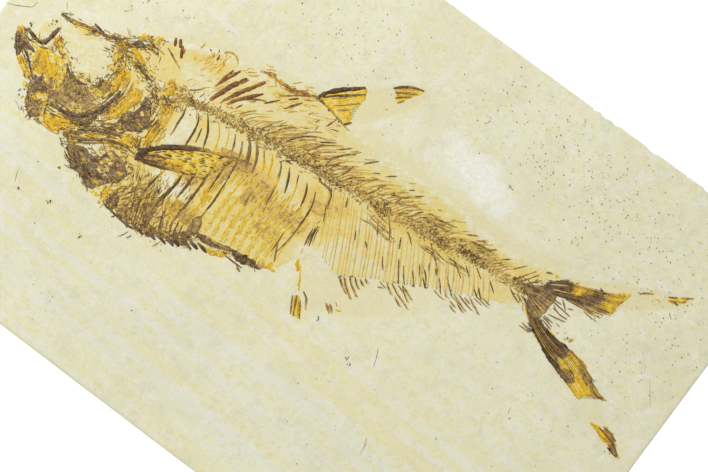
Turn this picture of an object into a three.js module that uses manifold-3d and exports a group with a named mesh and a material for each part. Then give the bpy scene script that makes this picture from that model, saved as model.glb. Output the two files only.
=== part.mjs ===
// A fossil fish on its slab of fine-grained lake limestone.
//
// Millimetres, +Z up. The slab lies on z = 0 with its long side along X, and the fish lies on the
// bedding plane, its upper face, with its head towards -X and its back towards +Y. The origin is the
// middle of the underside. Every bone is a low solid that rests on the bedding plane; the paired
// fin of the breast lies across the ribs, as it did when the carcass was pressed flat.
import * as THREE from "three";
import { mergeVertices } from "three/addons/utils/BufferGeometryUtils.js";
import Module from "manifold-3d";

const wasm = await Module();
wasm.setup();

// ---- driving dimensions ----
const SLAB_LENGTH = 320;
const SLAB_WIDTH_HEAD_END = 213.6; // the long sides were sawn a little out of parallel
const SLAB_WIDTH_TAIL_END = 220.4;
const SLAB_THICKNESS = 14;
const SLAB_ARRIS = 0.8; // the worn edge between a sawn side and a face

const SKULL_RELIEF = 1.1; // how far each kind of bone stands above the bedding plane
const THIN_PLATE_RELIEF = 0.88;
const NASAL_RELIEF = 0.77;
const COLUMN_RELIEF = 1.0;
const RIB_RELIEF = 0.5;
const SCUTE_RELIEF = 0.7;
const FIN_RELIEF = 0.6;
const RAY_WIDTH = 1.1;
const RAY_TAPER = 0.8; // the width of a ray's tip against its root
const RAY_STEPS = 3; // straight stretches in the curve of a fin ray

const GAP = 0.3; // clearance between neighbouring bones
const BED = SLAB_THICKNESS; // height of the bedding plane
const RIB_TOP = BED + RIB_RELIEF;

// ---- turning flat shapes into solids ----

// A closed three.js geometry as a manifold solid.
function solidFrom(geometry) {
  const bare = geometry.index ? geometry.toNonIndexed() : geometry.clone();
  bare.deleteAttribute("normal");
  bare.deleteAttribute("uv");
  const merged = mergeVertices(bare, 1e-4);
  return new wasm.Manifold(
    new wasm.Mesh({
      numProp: 3,
      vertProperties: merged.attributes.position.array,
      triVerts: new Uint32Array(merged.index.array),
    }),
  );
}

function geometryFrom(solid) {
  const mesh = solid.getMesh();
  const geometry = new THREE.BufferGeometry();
  geometry.setAttribute("position", new THREE.BufferAttribute(mesh.vertProperties, 3));
  geometry.setIndex(new THREE.BufferAttribute(mesh.triVerts, 1));
  geometry.computeVertexNormals();
  return geometry;
}

// An upright prism on a flat shape, from one height to another. grow moves its wall outwards.
function prism(shape, low, high, grow = 0) {
  const geometry = new THREE.ExtrudeGeometry(shape, {
    depth: high - low,
    curveSegments: 6,
    bevelEnabled: grow > 0,
    bevelSegments: 0,
    bevelThickness: 0,
    bevelSize: grow,
  });
  geometry.translate(0, 0, low);
  return solidFrom(geometry);
}

const joined = (solids) => solids.reduce((all, next) => all.add(next));
const largest = (solid) =>
  solid.decompose().reduce((best, body) => (body.volume() > best.volume() ? body : best));
const flat = (points) => points.map(([x, y]) => new THREE.Vector2(x, y));

// The outline of a bone that follows a smooth line and tapers from one width to another.
function taperedShape(points, startWidth, endWidth, steps) {
  const line = new THREE.SplineCurve(flat(points));
  const left = [];
  const right = [];
  for (let i = 0; i <= steps; i += 1) {
    const along = i / steps;
    const centre = line.getPoint(along);
    const ahead = line.getTangent(along);
    const half = THREE.MathUtils.lerp(startWidth, endWidth, along) / 2;
    left.push(new THREE.Vector2(centre.x - ahead.y * half, centre.y + ahead.x * half));
    right.unshift(new THREE.Vector2(centre.x + ahead.y * half, centre.y - ahead.x * half));
  }
  return new THREE.Shape([...left, ...right]);
}

// Each of these gives a function of the clearance: 0 draws the bone, more draws the room it needs.
const plate = (points, relief) => (grow) =>
  prism(new THREE.Shape(flat(points)), BED, BED + relief + grow, grow);

const strip = (points, startWidth, endWidth, relief, steps = points.length * 2) => (grow) => {
  const shape = taperedShape(points, startWidth + 2 * grow, endWidth + 2 * grow, steps);
  return prism(shape, BED, BED + relief + grow);
};

const cluster = (draws) => (grow) => joined(draws.map((draw) => draw(grow)));

// Fin rays spread between two margins, each a line of points from the fin's root to its edge.
function fan(firstRay, lastRay, count, relief, width = RAY_WIDTH) {
  const rays = [];
  for (let i = 0; i < count; i += 1) {
    const share = i / (count - 1);
    const points = firstRay.map(([x, y], k) => [
      THREE.MathUtils.lerp(x, lastRay[k][0], share),
      THREE.MathUtils.lerp(y, lastRay[k][1], share),
    ]);
    rays.push(strip(points, width, width * RAY_TAPER, relief, RAY_STEPS));
  }
  return cluster(rays);
}

// ---- the rock ----

const MATERIALS = {
  limestone: new THREE.MeshStandardMaterial({ color: 0xe3e0c8, roughness: 0.85, metalness: 0 }),
  brown_bone: new THREE.MeshStandardMaterial({ color: 0x6b5336, roughness: 0.5, metalness: 0 }),
  amber_bone: new THREE.MeshStandardMaterial({ color: 0xd9a429, roughness: 0.5, metalness: 0 }),
};

function slab() {
  const half = SLAB_LENGTH / 2 - SLAB_ARRIS;
  const head = SLAB_WIDTH_HEAD_END / 2 - SLAB_ARRIS;
  const tail = SLAB_WIDTH_TAIL_END / 2 - SLAB_ARRIS;
  const outline = new THREE.Shape(
    flat([
      [-half, -head],
      [half, -tail],
      [half, tail],
      [-half, head],
    ]),
  );
  const geometry = new THREE.ExtrudeGeometry(outline, {
    depth: SLAB_THICKNESS - 2 * SLAB_ARRIS,
    bevelThickness: SLAB_ARRIS,
    bevelSize: SLAB_ARRIS,
    bevelSegments: 2,
  });
  geometry.translate(0, 0, SLAB_ARRIS);
  return solidFrom(geometry);
}

// ---- the head ----

const HEAD = {
  lower_jaw: [
    "brown_bone",
    plate(
      [
        [-149.3, -5.5],
        [-147, -3.2],
        [-143.5, -4],
        [-141.5, -6.5],
        [-138.3, -8],
        [-139.5, -12],
        [-136, -15],
        [-132.2, -18.6],
        [-133.3, -20.8],
        [-137.5, -19],
        [-143.5, -15.2],
        [-148.8, -9],
      ],
      SKULL_RELIEF,
    ),
  ],
  upper_jaw: [
    "brown_bone",
    strip(
      [
        [-141.8, -4.6],
        [-139, -5.2],
        [-137.2, -4],
        [-136.3, -0.5],
        [-136, 4.6],
      ],
      1.5,
      1.2,
      SKULL_RELIEF,
    ),
  ],
  nasal_bone: [
    "amber_bone",
    plate(
      [
        [-134.4, 1.6],
        [-132.4, 2.6],
        [-130.6, 1.2],
        [-130.4, -2.6],
        [-133, -3.6],
        [-135, -2],
      ],
      NASAL_RELIEF,
    ),
  ],
  palate_plate: [
    "amber_bone",
    plate(
      [
        [-137.8, -6.3],
        [-134, -6],
        [-131, -4.4],
        [-127.6, -3],
        [-124.6, -6],
        [-122.5, -9.5],
        [-121, -13.5],
        [-126, -13.6],
        [-129, -14.2],
        [-131.6, -16.2],
        [-134.5, -15.5],
        [-137.6, -11.5],
      ],
      SKULL_RELIEF,
    ),
  ],
  jaw_joint: [
    "brown_bone",
    plate(
      [
        [-131.5, -16.8],
        [-129, -14.8],
        [-126, -14.2],
        [-124, -16.5],
        [-121.2, -23],
        [-122, -26],
        [-120.5, -29.5],
        [-122.5, -31],
        [-125, -31.5],
        [-128, -29.3],
        [-130.5, -25.5],
        [-132.8, -20],
      ],
      SKULL_RELIEF,
    ),
  ],
  cheek_plate: [
    "brown_bone",
    plate(
      [
        [-123.5, -5.5],
        [-118.5, -9],
        [-115, -8],
        [-111, -7],
        [-108, -8.5],
        [-104.8, -6],
        [-102, -9],
        [-103.5, -13],
        [-106, -16.5],
        [-109, -18.6],
        [-114, -20],
        [-119, -20.2],
        [-123.5, -16.5],
        [-121.4, -12],
        [-124, -8.5],
      ],
      SKULL_RELIEF * 0.9,
    ),
  ],
  preopercle: [
    "brown_bone",
    strip(
      [
        [-100.5, -1],
        [-101.2, -6],
        [-102.3, -10.5],
        [-104.6, -15.5],
        [-108, -19.5],
        [-112.5, -21.8],
        [-118, -22.8],
        [-121.4, -21.8],
      ],
      1.6,
      1.9,
      SKULL_RELIEF,
    ),
  ],
  skull_roof: [
    "brown_bone",
    strip(
      [
        [-138, 9.6],
        [-128, 11.2],
        [-118, 13.8],
        [-108, 18],
        [-103.5, 20],
        [-100.3, 21.2],
      ],
      1.4,
      2.4,
      SKULL_RELIEF,
    ),
  ],
  braincase: [
    "amber_bone",
    plate(
      [
        [-113.5, 14],
        [-110, 16],
        [-106, 16.4],
        [-102.5, 17],
        [-98.8, 13],
        [-97.5, 11],
        [-101, 10.4],
        [-103.5, 7.5],
        [-101.8, 4],
        [-104, 1],
        [-107.5, 0.5],
        [-107, 8],
        [-109.5, 11],
        [-112.5, 12],
      ],
      THIN_PLATE_RELIEF,
    ),
  ],
  hyomandibular: [
    "amber_bone",
    plate(
      [
        [-105.2, 0.2],
        [-101.6, 3],
        [-100.8, 0],
        [-101.9, -5],
        [-107, -4.8],
        [-109, -6.5],
        [-110.3, -4],
        [-108.3, -0.8],
      ],
      THIN_PLATE_RELIEF,
    ),
  ],
  opercle: [
    "brown_bone",
    plate(
      [
        [-99.2, -2],
        [-97.6, 2],
        [-93.5, 4],
        [-91, 3.4],
        [-88.5, 4.4],
        [-86, 2.2],
        [-83.8, -2],
        [-82.6, -7],
        [-84, -11],
        [-87.5, -13.5],
        [-91.2, -15.4],
        [-95, -14],
        [-99.6, -12.8],
        [-101.2, -9.5],
        [-99.9, -6],
      ],
      SKULL_RELIEF,
    ),
  ],
  subopercle: [
    "brown_bone",
    plate(
      [
        [-109.5, -27.5],
        [-108, -24.5],
        [-105.5, -21.6],
        [-103, -18.5],
        [-100, -14.6],
        [-96.5, -15.5],
        [-92, -16.8],
        [-90, -18.2],
        [-94, -19.2],
        [-97.4, -21.2],
        [-100.5, -24.6],
        [-104, -26.2],
        [-107, -28.8],
      ],
      SKULL_RELIEF * 0.9,
    ),
  ],
  gular_plate: [
    "amber_bone",
    plate(
      [
        [-121.2, -24.4],
        [-117, -24.8],
        [-113.5, -23.8],
        [-110.2, -23.3],
        [-108.9, -25],
        [-109.5, -27.8],
        [-111.8, -30.4],
        [-116, -31],
        [-119.6, -30.9],
        [-119.8, -27.8],
      ],
      THIN_PLATE_RELIEF,
    ),
  ],
  cleithrum: [
    "brown_bone",
    strip(
      [
        [-106, -30],
        [-103, -27.6],
        [-99, -25.6],
        [-96, -22.8],
        [-92, -20.6],
        [-87, -19.2],
        [-82.5, -18.6],
      ],
      1.2,
      1.8,
      SKULL_RELIEF,
    ),
  ],
  shoulder_plate: [
    "brown_bone",
    plate(
      [
        [-107.5, -31],
        [-103.5, -29.6],
        [-99.5, -28.6],
        [-95, -29.2],
        [-92, -28.2],
        [-90.2, -26],
        [-89.6, -23],
        [-86, -21.4],
        [-77, -22],
        [-74.6, -24.5],
        [-75.5, -28.5],
        [-80, -35],
        [-83, -37],
        [-84.5, -40],
        [-88, -41.2],
        [-93, -38.8],
        [-99, -37.2],
        [-104.2, -35],
      ],
      SKULL_RELIEF,
    ),
  ],
};

// ---- the backbone ----

// The column's centre line, from behind the skull to the root of the tail.
const COLUMN = new THREE.SplineCurve(
  flat([
    [-81, 11.2],
    [-70, 14],
    [-60, 16.5],
    [-40, 18.4],
    [-20, 20.6],
    [0, 23],
    [20, 24.8],
    [40, 27],
    [60, 29.8],
    [72, 31],
    [81.5, 32],
  ]),
);
const VERTEBRAE = 42;
const FIRST_TAIL_VERTEBRA = 19; // those before it carry the ribs
const VERTEBRA_WIDTH = 4.2; // across its ends, at the head end of the column
const WAIST_SHARE = 0.72;
const TAIL_END_SHARE = 0.62; // the last vertebra's size against the first one's
const SPINE_WIDTH = 0.75;
const SPINE_TAPER = 0.5;
const FIRST_SPINE = 5; // the spines of the first few vertebrae are lost
const SPINES_ABOVE = { degrees: [48, 32], length: [17, 9] }; // at the head end and at the tail end
const SPINES_BELOW = { degrees: [-66, -36], length: [17, 8] };

// A run of vertebrae. Each is drawn in to a waist between its two ends.
const centra = (first, last) => (grow) => {
  const left = [];
  const right = [];
  for (let i = 2 * first; i <= 2 * last; i += 1) {
    const along = i / (2 * VERTEBRAE);
    const centre = COLUMN.getPointAt(along);
    const ahead = COLUMN.getTangentAt(along);
    const waist = i % 2 ? WAIST_SHARE : 1;
    const half = (VERTEBRA_WIDTH / 2) * waist * THREE.MathUtils.lerp(1, TAIL_END_SHARE, along);
    left.push(new THREE.Vector2(centre.x - ahead.y * half, centre.y + ahead.x * half));
    right.unshift(new THREE.Vector2(centre.x + ahead.y * half, centre.y - ahead.x * half));
  }
  return prism(new THREE.Shape([...left, ...right]), BED, BED + COLUMN_RELIEF + grow, grow);
};

// One spine, from the middle of its vertebra outwards at an angle to the column.
function spine(index, { degrees, length }) {
  const share = index / VERTEBRAE;
  const lean = THREE.MathUtils.degToRad(THREE.MathUtils.lerp(...degrees, share));
  const reach = THREE.MathUtils.lerp(...length, share);
  const along = (index + 0.5) / VERTEBRAE;
  const root = COLUMN.getPointAt(along);
  const turned = COLUMN.getTangentAt(along).angle() + lean;
  const tip = [root.x + Math.cos(turned) * reach, root.y + Math.sin(turned) * reach];
  return strip([[root.x, root.y], tip], SPINE_WIDTH, SPINE_WIDTH * SPINE_TAPER, RIB_RELIEF, 1);
}

// The vertebrae from one to another, with the spines above them and, in the tail, below them.
function column(first, last) {
  const draws = [centra(first, last)];
  for (let i = Math.max(first, FIRST_SPINE); i < last - 1; i += 1) {
    draws.push(spine(i, SPINES_ABOVE));
    if (i > FIRST_TAIL_VERTEBRA) {
      draws.push(spine(i, SPINES_BELOW));
    }
  }
  return cluster(draws);
}

// ---- ribs ----

// Each rib runs from just under the column, round the belly wall, towards the scutes.
const RIBS = [
  [[-79.6, 8.4], [-78.3, 3], [-77, -6]],
  [[-75, 9.4], [-73.9, 3], [-73.4, -3.6]],
  [[-70.4, 10.6], [-66.8, 5], [-66, -4], [-67, -18], [-68.3, -32]],
  [[-65.6, 12], [-61.6, 8], [-59.6, 1], [-60, -17], [-62, -33]],
  [[-60.4, 13.4], [-57.5, 9], [-55.6, 2], [-55.5, -16], [-56.5, -33.5]],
  [[-56.2, 13.8], [-53.4, 9], [-51.5, 1], [-51, -16], [-51.2, -33]],
  [[-52, 14.2], [-49.5, 9.5], [-47.9, 1], [-46.9, -14], [-47.2, -30.6]],
  [[-48, 14.6], [-45.8, 9.5], [-44.2, 0], [-43.1, -14], [-43.4, -28.4]],
  [[-44.2, 15], [-42, 10.5], [-40.3, 1], [-39.2, -14], [-39.2, -26.2]],
  [[-40.4, 15.4], [-38.4, 10.5], [-36.8, 2], [-35.8, -14], [-35.8, -25.2]],
  [[-36.6, 15.8], [-34.6, 10.5], [-33, 2], [-32, -14], [-32, -24.4]],
  [[-32.6, 16.2], [-30.6, 11], [-29, 2], [-28, -14], [-27.9, -23.6]],
  [[-28.6, 16.8], [-26.6, 11], [-25, 2], [-24, -14], [-23.6, -22.8]],
  [[-24.6, 17.2], [-22.6, 11], [-21, 2], [-20, -14], [-19.6, -21.8]],
  [[-20.6, 17.4], [-18.6, 11], [-17.1, 2], [-16, -14], [-15.6, -20.6]],
  [[-16.6, 17.8], [-14.6, 11], [-13, 3], [-12.2, -10], [-11.9, -17]],
  [[-12.6, 18.4], [-10.4, 11], [-8.9, 4], [-8.7, -6], [-9.4, -15]],
];
const RIB_WIDTH = 1.1;
const RIB_TAPER = 0.6;

// ---- belly scutes ----

// The keel of the belly. Each scute on it has a tooth that points back and a wing that rises.
const KEEL = new THREE.SplineCurve(
  flat([
    [-83.4, -40.4],
    [-74, -41.4],
    [-66, -41.8],
    [-58, -41],
    [-50, -38.6],
    [-42, -35],
    [-34, -31.6],
    [-24, -29],
    [-14, -25.8],
    [-7.6, -23],
  ]),
);
const SCUTES = 19;
const SCUTE_ROOT = 0.35; // where a scute starts along its share of the keel
const KEEL_WIDTH = 2;
const KEEL_TAPER = 0.6;

// A scute's outline, forward along the keel and up from it: a tooth that points back, and a wing.
const SCUTE = [
  [-1.2, -0.6],
  [2.4, -1.9],
  [1.6, -0.2],
  [0.5, 4.2],
  [-0.7, 3.36],
];

function scuteRow() {
  const keelLine = KEEL.getSpacedPoints(SCUTES).map((p) => [p.x, p.y]);
  const draws = [strip(keelLine, KEEL_WIDTH, KEEL_WIDTH * KEEL_TAPER, SCUTE_RELIEF, SCUTES)];
  for (let i = 0; i < SCUTES; i += 1) {
    const root = KEEL.getPointAt((i + SCUTE_ROOT) / SCUTES);
    const ahead = KEEL.getTangentAt((i + SCUTE_ROOT) / SCUTES);
    const outline = SCUTE.map(([forward, up]) => [
      root.x + ahead.x * forward - ahead.y * up,
      root.y + ahead.y * forward + ahead.x * up,
    ]);
    draws.push(plate(outline, SCUTE_RELIEF));
  }
  return cluster(draws);
}

// ---- bones ahead of the back fin ----

const PREDORSALS = [
  [[-95, 29.6], [-93.2, 26.8]],
  [[-91.2, 30], [-88.6, 24.4]],
  [[-84, 30.4], [-83.2, 25.6]],
  [[-79.4, 33], [-77.6, 28.6]],
  [[-73, 33.2], [-72.8, 26.6]],
  [[-69.9, 24.6], [-65.4, 34]],
  [[-66.4, 22.8], [-61, 34]],
  [[-61.6, 26.2], [-55.2, 37]],
  [[-57.6, 25.4], [-53, 32.6]],
];
const PREDORSAL_WIDTH = 1.8;
const PREDORSAL_TAPER = 0.7;

// ---- fins ----

const FIN_BASE = 1.6; // the breast fin's root block, which reaches down to the bedding plane
const FIN_OVER_RIBS = RIB_TOP + GAP;

// The breast fin: rays that lie over the ribs, spread from a root that is on the rock.
function breastFin() {
  const rays = fan(
    [[-79, -16.2], [-70, -6.6], [-58, 0.6], [-42, 5.8]],
    [[-78, -19.2], [-70, -16.6], [-62, -13.6], [-52, -8.6]],
    12,
    FIN_RELIEF,
    1.5,
  )(0).translate(0, 0, FIN_OVER_RIBS - BED);
  const root = new THREE.Shape(
    flat([
      [-79.8, -16],
      [-75.4, -12],
      [-73.6, -13],
      [-74, -18.4],
      [-78.6, -20],
    ]),
  );
  return rays.add(prism(root, BED, BED + FIN_BASE));
}

const FINS = {
  back_fin: [
    "amber_bone",
    cluster([
      strip([[-34.4, 44.4], [-26, 43.8], [-17.4, 41.8]], 1.6, 1.6, FIN_RELIEF),
      fan(
        [[-33.6, 44.6], [-30, 50.4], [-20.8, 59.6]],
        [[-18.6, 42.2], [-18.2, 44], [-16.6, 46]],
        9,
        FIN_RELIEF,
      ),
    ]),
  ],
  back_fin_tip: [
    "amber_bone",
    fan([[-11, 66.4], [-7, 70], [-0.8, 72.6]], [[-9.6, 65.6], [-7, 64.6], [-5.2, 62.6]], 5, FIN_RELIEF, 1.6),
  ],
  pelvic_fin: [
    "amber_bone",
    fan([[-3.3, 1.4], [-3, -7], [-1.4, -14]], [[-1.6, 2.2], [0, -7], [2.2, -17]], 4, FIN_RELIEF, 1),
  ],
  pelvic_fin_tip: [
    "amber_bone",
    fan([[7.6, -25], [6.6, -28], [9.4, -32.8]], [[9, -22.6], [12, -25.6], [13.8, -31.8]], 4, FIN_RELIEF, 1.8),
  ],
  anal_fin_front: [
    "brown_bone",
    cluster([
      strip([[16.4, -9.4], [22, -5.8], [27, -3.2]], 1.1, 0.9, FIN_RELIEF),
      fan(
        [[17, -9.2], [20, -11.4], [22.8, -12.8]],
        [[25.6, -3.8], [26.2, -4.2], [27.2, -4.8]],
        6,
        FIN_RELIEF,
        0.8,
      ),
    ]),
  ],
  anal_fin_tip: [
    "amber_bone",
    fan(
      [[19.4, -20.6], [21, -22], [22.4, -23.4]],
      [[21, -19.6], [23, -20.4], [25.6, -20]],
      3,
      FIN_RELIEF,
      1.4,
    ),
  ],
  anal_fin_middle: [
    "brown_bone",
    cluster([
      strip([[33.6, 0.6], [37, 2.8], [41.4, 3.8]], 1, 0.9, FIN_RELIEF),
      fan([[34.2, 0.6], [36, -1], [38.2, -2.2]], [[40.6, 3.6], [43, 2.4], [46.4, 1]], 6, FIN_RELIEF, 0.8),
    ]),
  ],
  anal_fin_rear: [
    "brown_bone",
    cluster([
      strip([[51.4, 9.8], [60, 13.8], [71, 19.2]], 1, 0.9, FIN_RELIEF),
      fan([[51.8, 9.8], [54, 9.4], [56.4, 8.8]], [[69.8, 18.8], [71, 18.4], [72.8, 18]], 11, FIN_RELIEF, 0.7),
    ]),
  ],
  tail_root: [
    "brown_bone",
    plate(
      [
        [82.2, 33.6],
        [86, 37.6],
        [90, 38.2],
        [93.4, 37.2],
        [93.6, 30],
        [92.6, 26.6],
        [88.4, 26],
        [84.4, 28.4],
        [82.2, 30.6],
      ],
      COLUMN_RELIEF,
    ),
  ],
  tail_upper_lobe: [
    "brown_bone",
    fan(
      [[87.6, 39], [90, 44], [104, 50], [116.8, 56]],
      [[94.6, 38], [98, 39], [105, 39.6], [111.6, 40.4]],
      12,
      FIN_RELIEF,
      1.9,
    ),
  ],
  tail_upper_tip: [
    "amber_bone",
    fan([[130, 65], [133, 67], [138, 70.2]], [[130.4, 63.8], [133, 64], [136.4, 64.8]], 4, FIN_RELIEF, 1.5),
  ],
  tail_lower_lobe: [
    "brown_bone",
    fan(
      [[94.4, 26.4], [104, 24], [118, 22.8], [132.4, 15.4]],
      [[89.4, 23.6], [98, 19], [108, 14.6], [124.6, 9.8]],
      13,
      FIN_RELIEF,
      1.6,
    ),
  ],
  tail_lower_tip: [
    "amber_bone",
    fan(
      [[135.4, 4.6], [142, 6.6], [152, 0.6]],
      [[135.4, 4.2], [141, 2.2], [150.4, -0.4]],
      5,
      FIN_RELIEF,
      1.5,
    ),
  ],
};

// ---- putting it together ----

const fossil = new THREE.Group();
const placed = []; // the room that each bone already on the rock needs

function add(name, material, solid) {
  const mesh = new THREE.Mesh(geometryFrom(solid), MATERIALS[material]);
  mesh.name = name;
  fossil.add(mesh);
}

// Lays a bone beside those that are already there: where one would cover another, it stops short.
function lay(name, material, draw) {
  add(name, material, largest(placed.reduce((rest, room) => rest.subtract(room), draw(0))));
  placed.push(draw(GAP));
}

const number = (i) => String(i + 1).padStart(2, "0");

add("limestone_slab", "limestone", slab());
for (const [name, [material, draw]] of Object.entries(HEAD)) {
  lay(name, material, draw);
}
PREDORSALS.forEach((line, i) => {
  const draw = strip(line, PREDORSAL_WIDTH, PREDORSAL_WIDTH * PREDORSAL_TAPER, RIB_RELIEF, 1);
  lay(`predorsal_${number(i)}`, "brown_bone", draw);
});
for (const [name, [material, draw]] of Object.entries(FINS)) {
  lay(name, material, draw);
}
lay("trunk_vertebrae", "brown_bone", column(0, FIRST_TAIL_VERTEBRA));
lay("tail_vertebrae", "brown_bone", column(FIRST_TAIL_VERTEBRA, VERTEBRAE));
lay("belly_scutes", "amber_bone", scuteRow());
RIBS.forEach((line, i) => {
  const draw = strip(line, RIB_WIDTH, RIB_WIDTH * RIB_TAPER, RIB_RELIEF);
  lay(`rib_${number(i)}`, "amber_bone", draw);
});
add("breast_fin", "amber_bone", breastFin());

export default fossil;
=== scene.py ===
import math
import random

import bmesh
import bpy
import numpy as np
from mathutils import Matrix, Vector, noise


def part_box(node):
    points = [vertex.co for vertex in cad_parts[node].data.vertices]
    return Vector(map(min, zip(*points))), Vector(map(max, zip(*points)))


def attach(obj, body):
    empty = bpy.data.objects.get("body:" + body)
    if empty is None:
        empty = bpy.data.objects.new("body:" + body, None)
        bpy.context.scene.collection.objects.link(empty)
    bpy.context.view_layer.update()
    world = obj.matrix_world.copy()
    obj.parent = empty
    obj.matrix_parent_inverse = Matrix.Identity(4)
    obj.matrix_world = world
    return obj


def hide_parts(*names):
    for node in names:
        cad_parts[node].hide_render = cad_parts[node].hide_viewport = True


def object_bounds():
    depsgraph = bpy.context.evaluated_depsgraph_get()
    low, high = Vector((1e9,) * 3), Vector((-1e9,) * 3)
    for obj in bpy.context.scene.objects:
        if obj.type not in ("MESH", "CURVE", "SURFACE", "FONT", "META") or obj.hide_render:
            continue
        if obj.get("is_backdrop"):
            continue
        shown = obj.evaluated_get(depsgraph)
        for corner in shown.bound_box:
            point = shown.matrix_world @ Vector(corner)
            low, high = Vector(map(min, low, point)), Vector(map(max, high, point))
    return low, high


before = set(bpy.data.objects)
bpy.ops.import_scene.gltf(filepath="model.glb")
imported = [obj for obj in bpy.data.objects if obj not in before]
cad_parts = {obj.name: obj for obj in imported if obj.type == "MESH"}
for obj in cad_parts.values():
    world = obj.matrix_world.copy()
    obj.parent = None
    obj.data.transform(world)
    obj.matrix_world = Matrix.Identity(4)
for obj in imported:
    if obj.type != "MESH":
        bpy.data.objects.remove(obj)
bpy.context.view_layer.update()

# ---- the slab ----
# A thin slab of lake limestone, split along its bedding and sawn square, with the fish on the
# upper split face. The fish lies along X, and its fins' beds are scraped a little below the rest.

MM = 0.001
slab_low, slab_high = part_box("limestone_slab")
LENGTH = (slab_high.x - slab_low.x) / MM
WIDTH = (slab_high.y - slab_low.y) / MM
BED = slab_high.z / MM  # the bedding plane that the fish lies on
HEAD_END_SHARE = 213.6 / 220.4  # the long sides were sawn out of parallel
SLAB_SQUARE = 1.0  # spacing of the upper face's mesh
UNDERSIDE_SQUARE = 2.5
WALL_CUTS = 7

# beds scraped down round the back fin, the tail's two lobes and the fins of the belly
SCRAPED = [
    [(-36, 44), (-28, 54), (-16, 64), (-6, 72.5), (1, 75), (4, 71), (0, 62), (-11, 47), (-16, 41)],
    [(82, 42), (95, 49), (110, 57), (125, 65), (140, 72), (140, 66), (134, 60), (125, 53), (112, 44)],
    [(112, 22), (126, 18), (140, 8.5), (155, 2.5), (156, -2.5), (138, 0.5), (124, 7.5), (106, 12)],
    [(-2, -8), (3, -22), (7, -34), (15, -36), (22, -26), (31, -21), (44, -10), (30, -2), (14, -9)],
]
SCRAPED_DEPTH = 0.16
SCRAPED_EDGE = 1.6
SCRAPED_STAIN = [0.75, 0.75, 0.4, 0.3]  # how beige each of those beds is

# where the rock round the back is tinged the same beige
TINGED = [(-106, 24), (-94, 36), (-72, 45), (-52, 48), (-30, 52), (0, 52), (24, 50.5), (48, 50), (66, 50), (84, 54),
          (96, 50), (90, 42), (60, 36), (0, 34), (-60, 32), (-96, 24)]
TINGED_EDGE = 6.0
TINGED_STAIN = 0.6


def grain(points, size, seed=0.0, octaves=3):
    """Fractal noise of about -1 to 1 for an array of points, with features of a size in mm."""
    where = np.column_stack([points[:, 0] / size, points[:, 1] / size])
    return np.array([noise.fractal((x, y, seed), 0.7, 2.0, octaves) for x, y in where])


def smooth(low, high, value):
    share = np.clip((value - low) / (high - low), 0, 1)
    return share * share * (3 - 2 * share)


def to_line(points, line, closed=False):
    """For an array of points, the distance to a line of straight stretches, the share of the way
    along it, and the nearest point on it."""
    line = np.asarray(line, float)[:, :2]
    if closed:
        line = np.vstack([line, line[:1]])
    start, run = line[:-1], np.diff(line, axis=0)
    length = np.maximum(np.hypot(*run.T), 1e-9)
    before = np.concatenate([[0], np.cumsum(length)[:-1]])
    gaps, shares, places = [], [], []
    for some in np.array_split(points[:, :2], len(points) // 4000 + 1):
        offset = some[:, None] - start[None]
        share = np.clip((offset * run[None]).sum(2) / length**2, 0, 1)
        nearest = start[None] + share[..., None] * run[None]
        gap = np.hypot(*(some[:, None] - nearest).transpose(2, 0, 1))
        best = gap.argmin(1)
        rows = np.arange(len(some))
        gaps.append(gap[rows, best])
        shares.append((before[best] + share[rows, best] * length[best]) / length.sum())
        places.append(nearest[rows, best])
    return np.concatenate(gaps), np.concatenate(shares), np.concatenate(places)


def within(points, outline):
    """How far each point is inside a closed outline, in mm, and below 0 outside it."""
    outline = np.asarray(outline, float)[:, :2]
    x, y = points[:, 0], points[:, 1]
    inside = np.zeros(len(points), bool)
    for (ax, ay), (bx, by) in zip(outline, np.roll(outline, -1, axis=0)):
        crosses = (ay > y) != (by > y)
        rise = by - ay if by != ay else 1e-12
        inside ^= crosses & (x < (bx - ax) * (y - ay) / rise + ax)
    gap, _, _ = to_line(points, outline, closed=True)
    return np.where(inside, gap, -gap)


def split_face(points):
    """Height at which the rock split along its bedding, at an array of points, in mm."""
    height = BED - 0.2 + 0.16 * grain(points, 55) + 0.05 * grain(points, 4, 3.0)
    laminae = np.column_stack([points[:, 0] / 16 + 0.25 * points[:, 1], points[:, 1] + 0.06 * points[:, 0]])
    height += 0.05 * smooth(-0.05, 0.1, grain(laminae, 9, 5.0, 2)) * smooth(-30, -60, points[:, 1])
    for outline in SCRAPED:
        height -= SCRAPED_DEPTH * smooth(0, SCRAPED_EDGE, within(points, outline))
    return height


# The face is worked out once, on a net of 1 mm, and read between the net's points after that.
net_x = np.arange(-LENGTH / 2 - 2, LENGTH / 2 + 2, SLAB_SQUARE)
net_y = np.arange(-WIDTH / 2 - 2, WIDTH / 2 + 2, SLAB_SQUARE)
net_points = np.array([(x, y) for x in net_x for y in net_y])
net_heights = split_face(net_points).reshape(len(net_x), len(net_y))


def bed(points):
    """Height of the split face at an array of points, in mm."""
    along, across = [(points[:, axis] - net[0]) / SLAB_SQUARE for axis, net in enumerate((net_x, net_y))]
    column, row = along.astype(int), across.astype(int)
    u, v = along - column, across - row
    near = net_heights[column, row] * (1 - v) + net_heights[column, row + 1] * v
    far = net_heights[column + 1, row] * (1 - v) + net_heights[column + 1, row + 1] * v
    return near * (1 - u) + far * u


def piece(name, mesh_maker, material, *nodes, slot):
    """A finished object of the fish or its rock, made in mm, that stands for nodes of the frame."""
    mesh_maker.normal_update()
    mesh = bpy.data.meshes.new(name)
    mesh_maker.to_mesh(mesh)
    mesh_maker.free()
    mesh.transform(Matrix.Scale(MM, 4))
    mesh.shade_smooth()
    thing = bpy.data.objects.new(name, mesh)
    bpy.context.collection.objects.link(thing)
    mesh.materials.append(material)
    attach(thing, "root")
    if nodes:
        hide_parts(*nodes)
    return thing


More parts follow.
